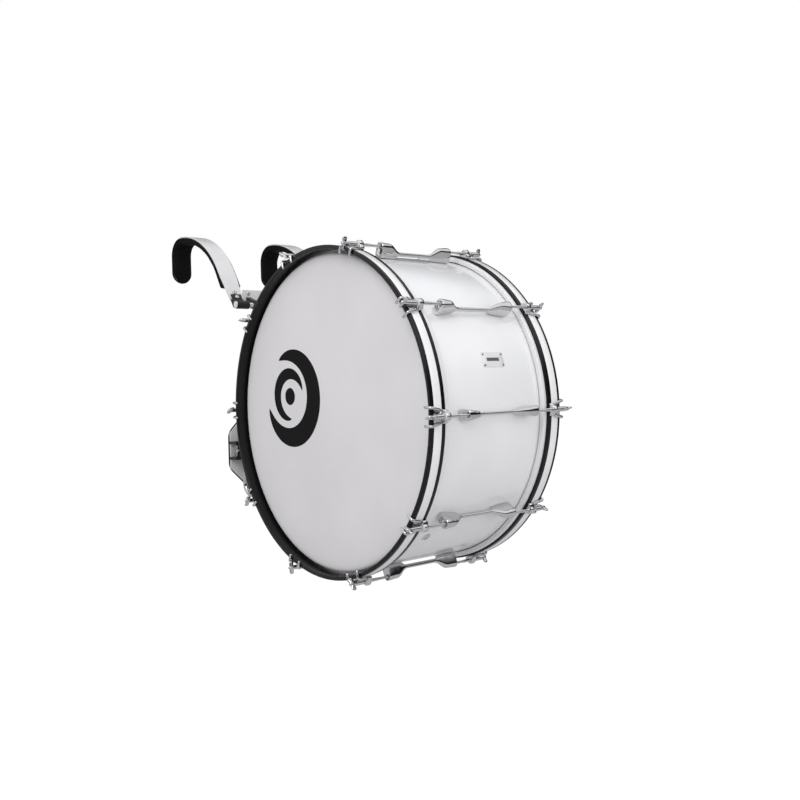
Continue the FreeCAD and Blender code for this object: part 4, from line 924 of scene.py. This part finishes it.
def piping(path, outward):
    """A cord of radius 1.7 sewn round a closed path: circles square to it, each started from its outward
    direction."""
    along = np.roll(path, -1, 0) - np.roll(path, 1, 0)
    other = np.cross(along, outward)
    other /= np.linalg.norm(other, axis=1)[:, None]
    v = np.linspace(0, 2 * math.pi, 10, endpoint=False)[None, :, None]
    return net(path[:, None] + 1.7 * (np.cos(v) * outward[:, None] + np.sin(v) * other[:, None]), True)


PAD_START, PAD_END, PAD_HALF = 41.5, TAIL_AT + 41.0, 25.5
PAD_CHANNELS = np.linspace(PAD_START, PAD_END + PAD_HALF, 7)[1:-1]


def along_strap(points):
    """How far along the strap each point lies, how far under it, and the direction that leads under it."""
    s = np.linspace(0, PAD_END + 27, 900)
    y, z = strap_line(s, 0 * s)
    deeper_y, deeper_z = strap_line(s, 0 * s + 1.0)
    gap = (points[:, 1:2] - y[None]) ** 2 + (points[:, 2:3] - z[None]) ** 2
    nearest = np.argmin(gap, axis=1)
    under = np.stack([0 * y, deeper_y - y, deeper_z - z], -1)
    return s[nearest], np.sqrt(gap[np.arange(len(points)), nearest]), under[nearest]


def shoulder_channels(points):
    """Each channel draws the cloth up by 2.4 exp(-((s - channel)/3)^2) mm, and less near the plate."""
    s, gap, under = along_strap(points)
    drawn = np.exp(-((s[:, None] - PAD_CHANNELS[None]) / 3.0) ** 2).sum(1) * eased(gap, 6, 12)
    return -2.4 * drawn[:, None] * under


def shoulder_seam():
    """The pad's outline beside the plate: two long runs, a half circle at the tail and two round corners."""
    run = np.linspace(0, 1, 90)[1:-1]
    half_turn, quarter = np.linspace(-math.pi / 2, math.pi / 2, 30), np.linspace(0, math.pi / 2, 6)
    reach, corner = PAD_HALF + 0.3, 4.0
    s = np.concatenate([PAD_END + reach * np.cos(half_turn), PAD_END + (PAD_START + corner - PAD_END) * run,
                        PAD_START + corner * (1 - np.sin(quarter)),
                        PAD_START + corner * (1 - np.cos(quarter)),
                        PAD_START + corner + (PAD_END - PAD_START - corner) * run])
    a = np.concatenate([reach * np.sin(half_turn), reach + 0 * run, reach - corner * (1 - np.cos(quarter)),
                        -reach + corner * (1 - np.sin(quarter)), -reach + 0 * run])
    y, z = strap_line(s, 0 * s + 5.7)
    deeper_y, deeper_z = strap_line(s, 0 * s + 6.7)
    return piping(np.stack([STRAP_X + a, y, z], -1), np.stack([0 * y, deeper_y - y, deeper_z - z], -1))


raw = strap(lambda s: 0 * s + 2 * PAD_HALF, 11.4, STRAP_THICK + 0.4, PAD_START, PAD_END, PAD_HALF, 3.6,
            120, 1.2)
for side, name in ((-1, "right"), (1, "left")):
    pad = stuffed(name + "_shoulder_cushion", [handed(raw, side)], lambda p: along_strap(p)[1] < 5.2, 3.0,
                  name + "_shoulder", name + "_shoulder_pad")
    sewn(pad, shoulder_channels)
    piece(name + "_shoulder_piping", [handed(shoulder_seam(), side)], pad_cloth, name + "_shoulder", "",
          60)

BELLY_Z = -101
belly_edge = rounded([(-147, 43), (-100, 90), (100, 90), (147, 43), (147, -43), (100, -90), (-100, -90),
                      (-147, -43)], 14.0, 8)


def belly_ring(y, share):
    """The belly pad's outline at depth y, drawn in to a share of its size about its middle."""
    return np.stack([belly_edge[:, 0] * share, 0 * belly_edge[:, 0] + y, BELLY_Z + belly_edge[:, 1] * share], -1)


belly_grid = np.stack([belly_ring(y, share) for y, share in (
    (428.0, 0.0), (428.0, 0.5), (428.0, 0.985), (429.5, 1.0), (436.0, 1.0), (438.5, 0.975), (439.4, 0.9),
    (439.6, 0.5), (439.6, 0.0))])


def belly_channels(points):
    """Two upright channels, each drawing the cloth in by 3.2 exp(-((|x| - 50)/3)^2) mm."""
    drawn = 3.2 * eased(points[:, 1], 431, 437) * np.exp(-((np.abs(points[:, 0]) - 50) / 3.0) ** 2)
    return np.stack([0 * drawn, -drawn, 0 * drawn], -1)


belly = stuffed("belly_cushion", [net(belly_grid)], lambda p: p[:, 1] < 429.6, 4.0, "belly", "belly_pad")
sewn(belly, belly_channels)
seam = belly_ring(430.2, 1.002)
piece("belly_piping", [piping(seam, np.array([[0.0, 1.0, 0.0]]) + 0 * seam)], pad_cloth, "belly", "",
      60)
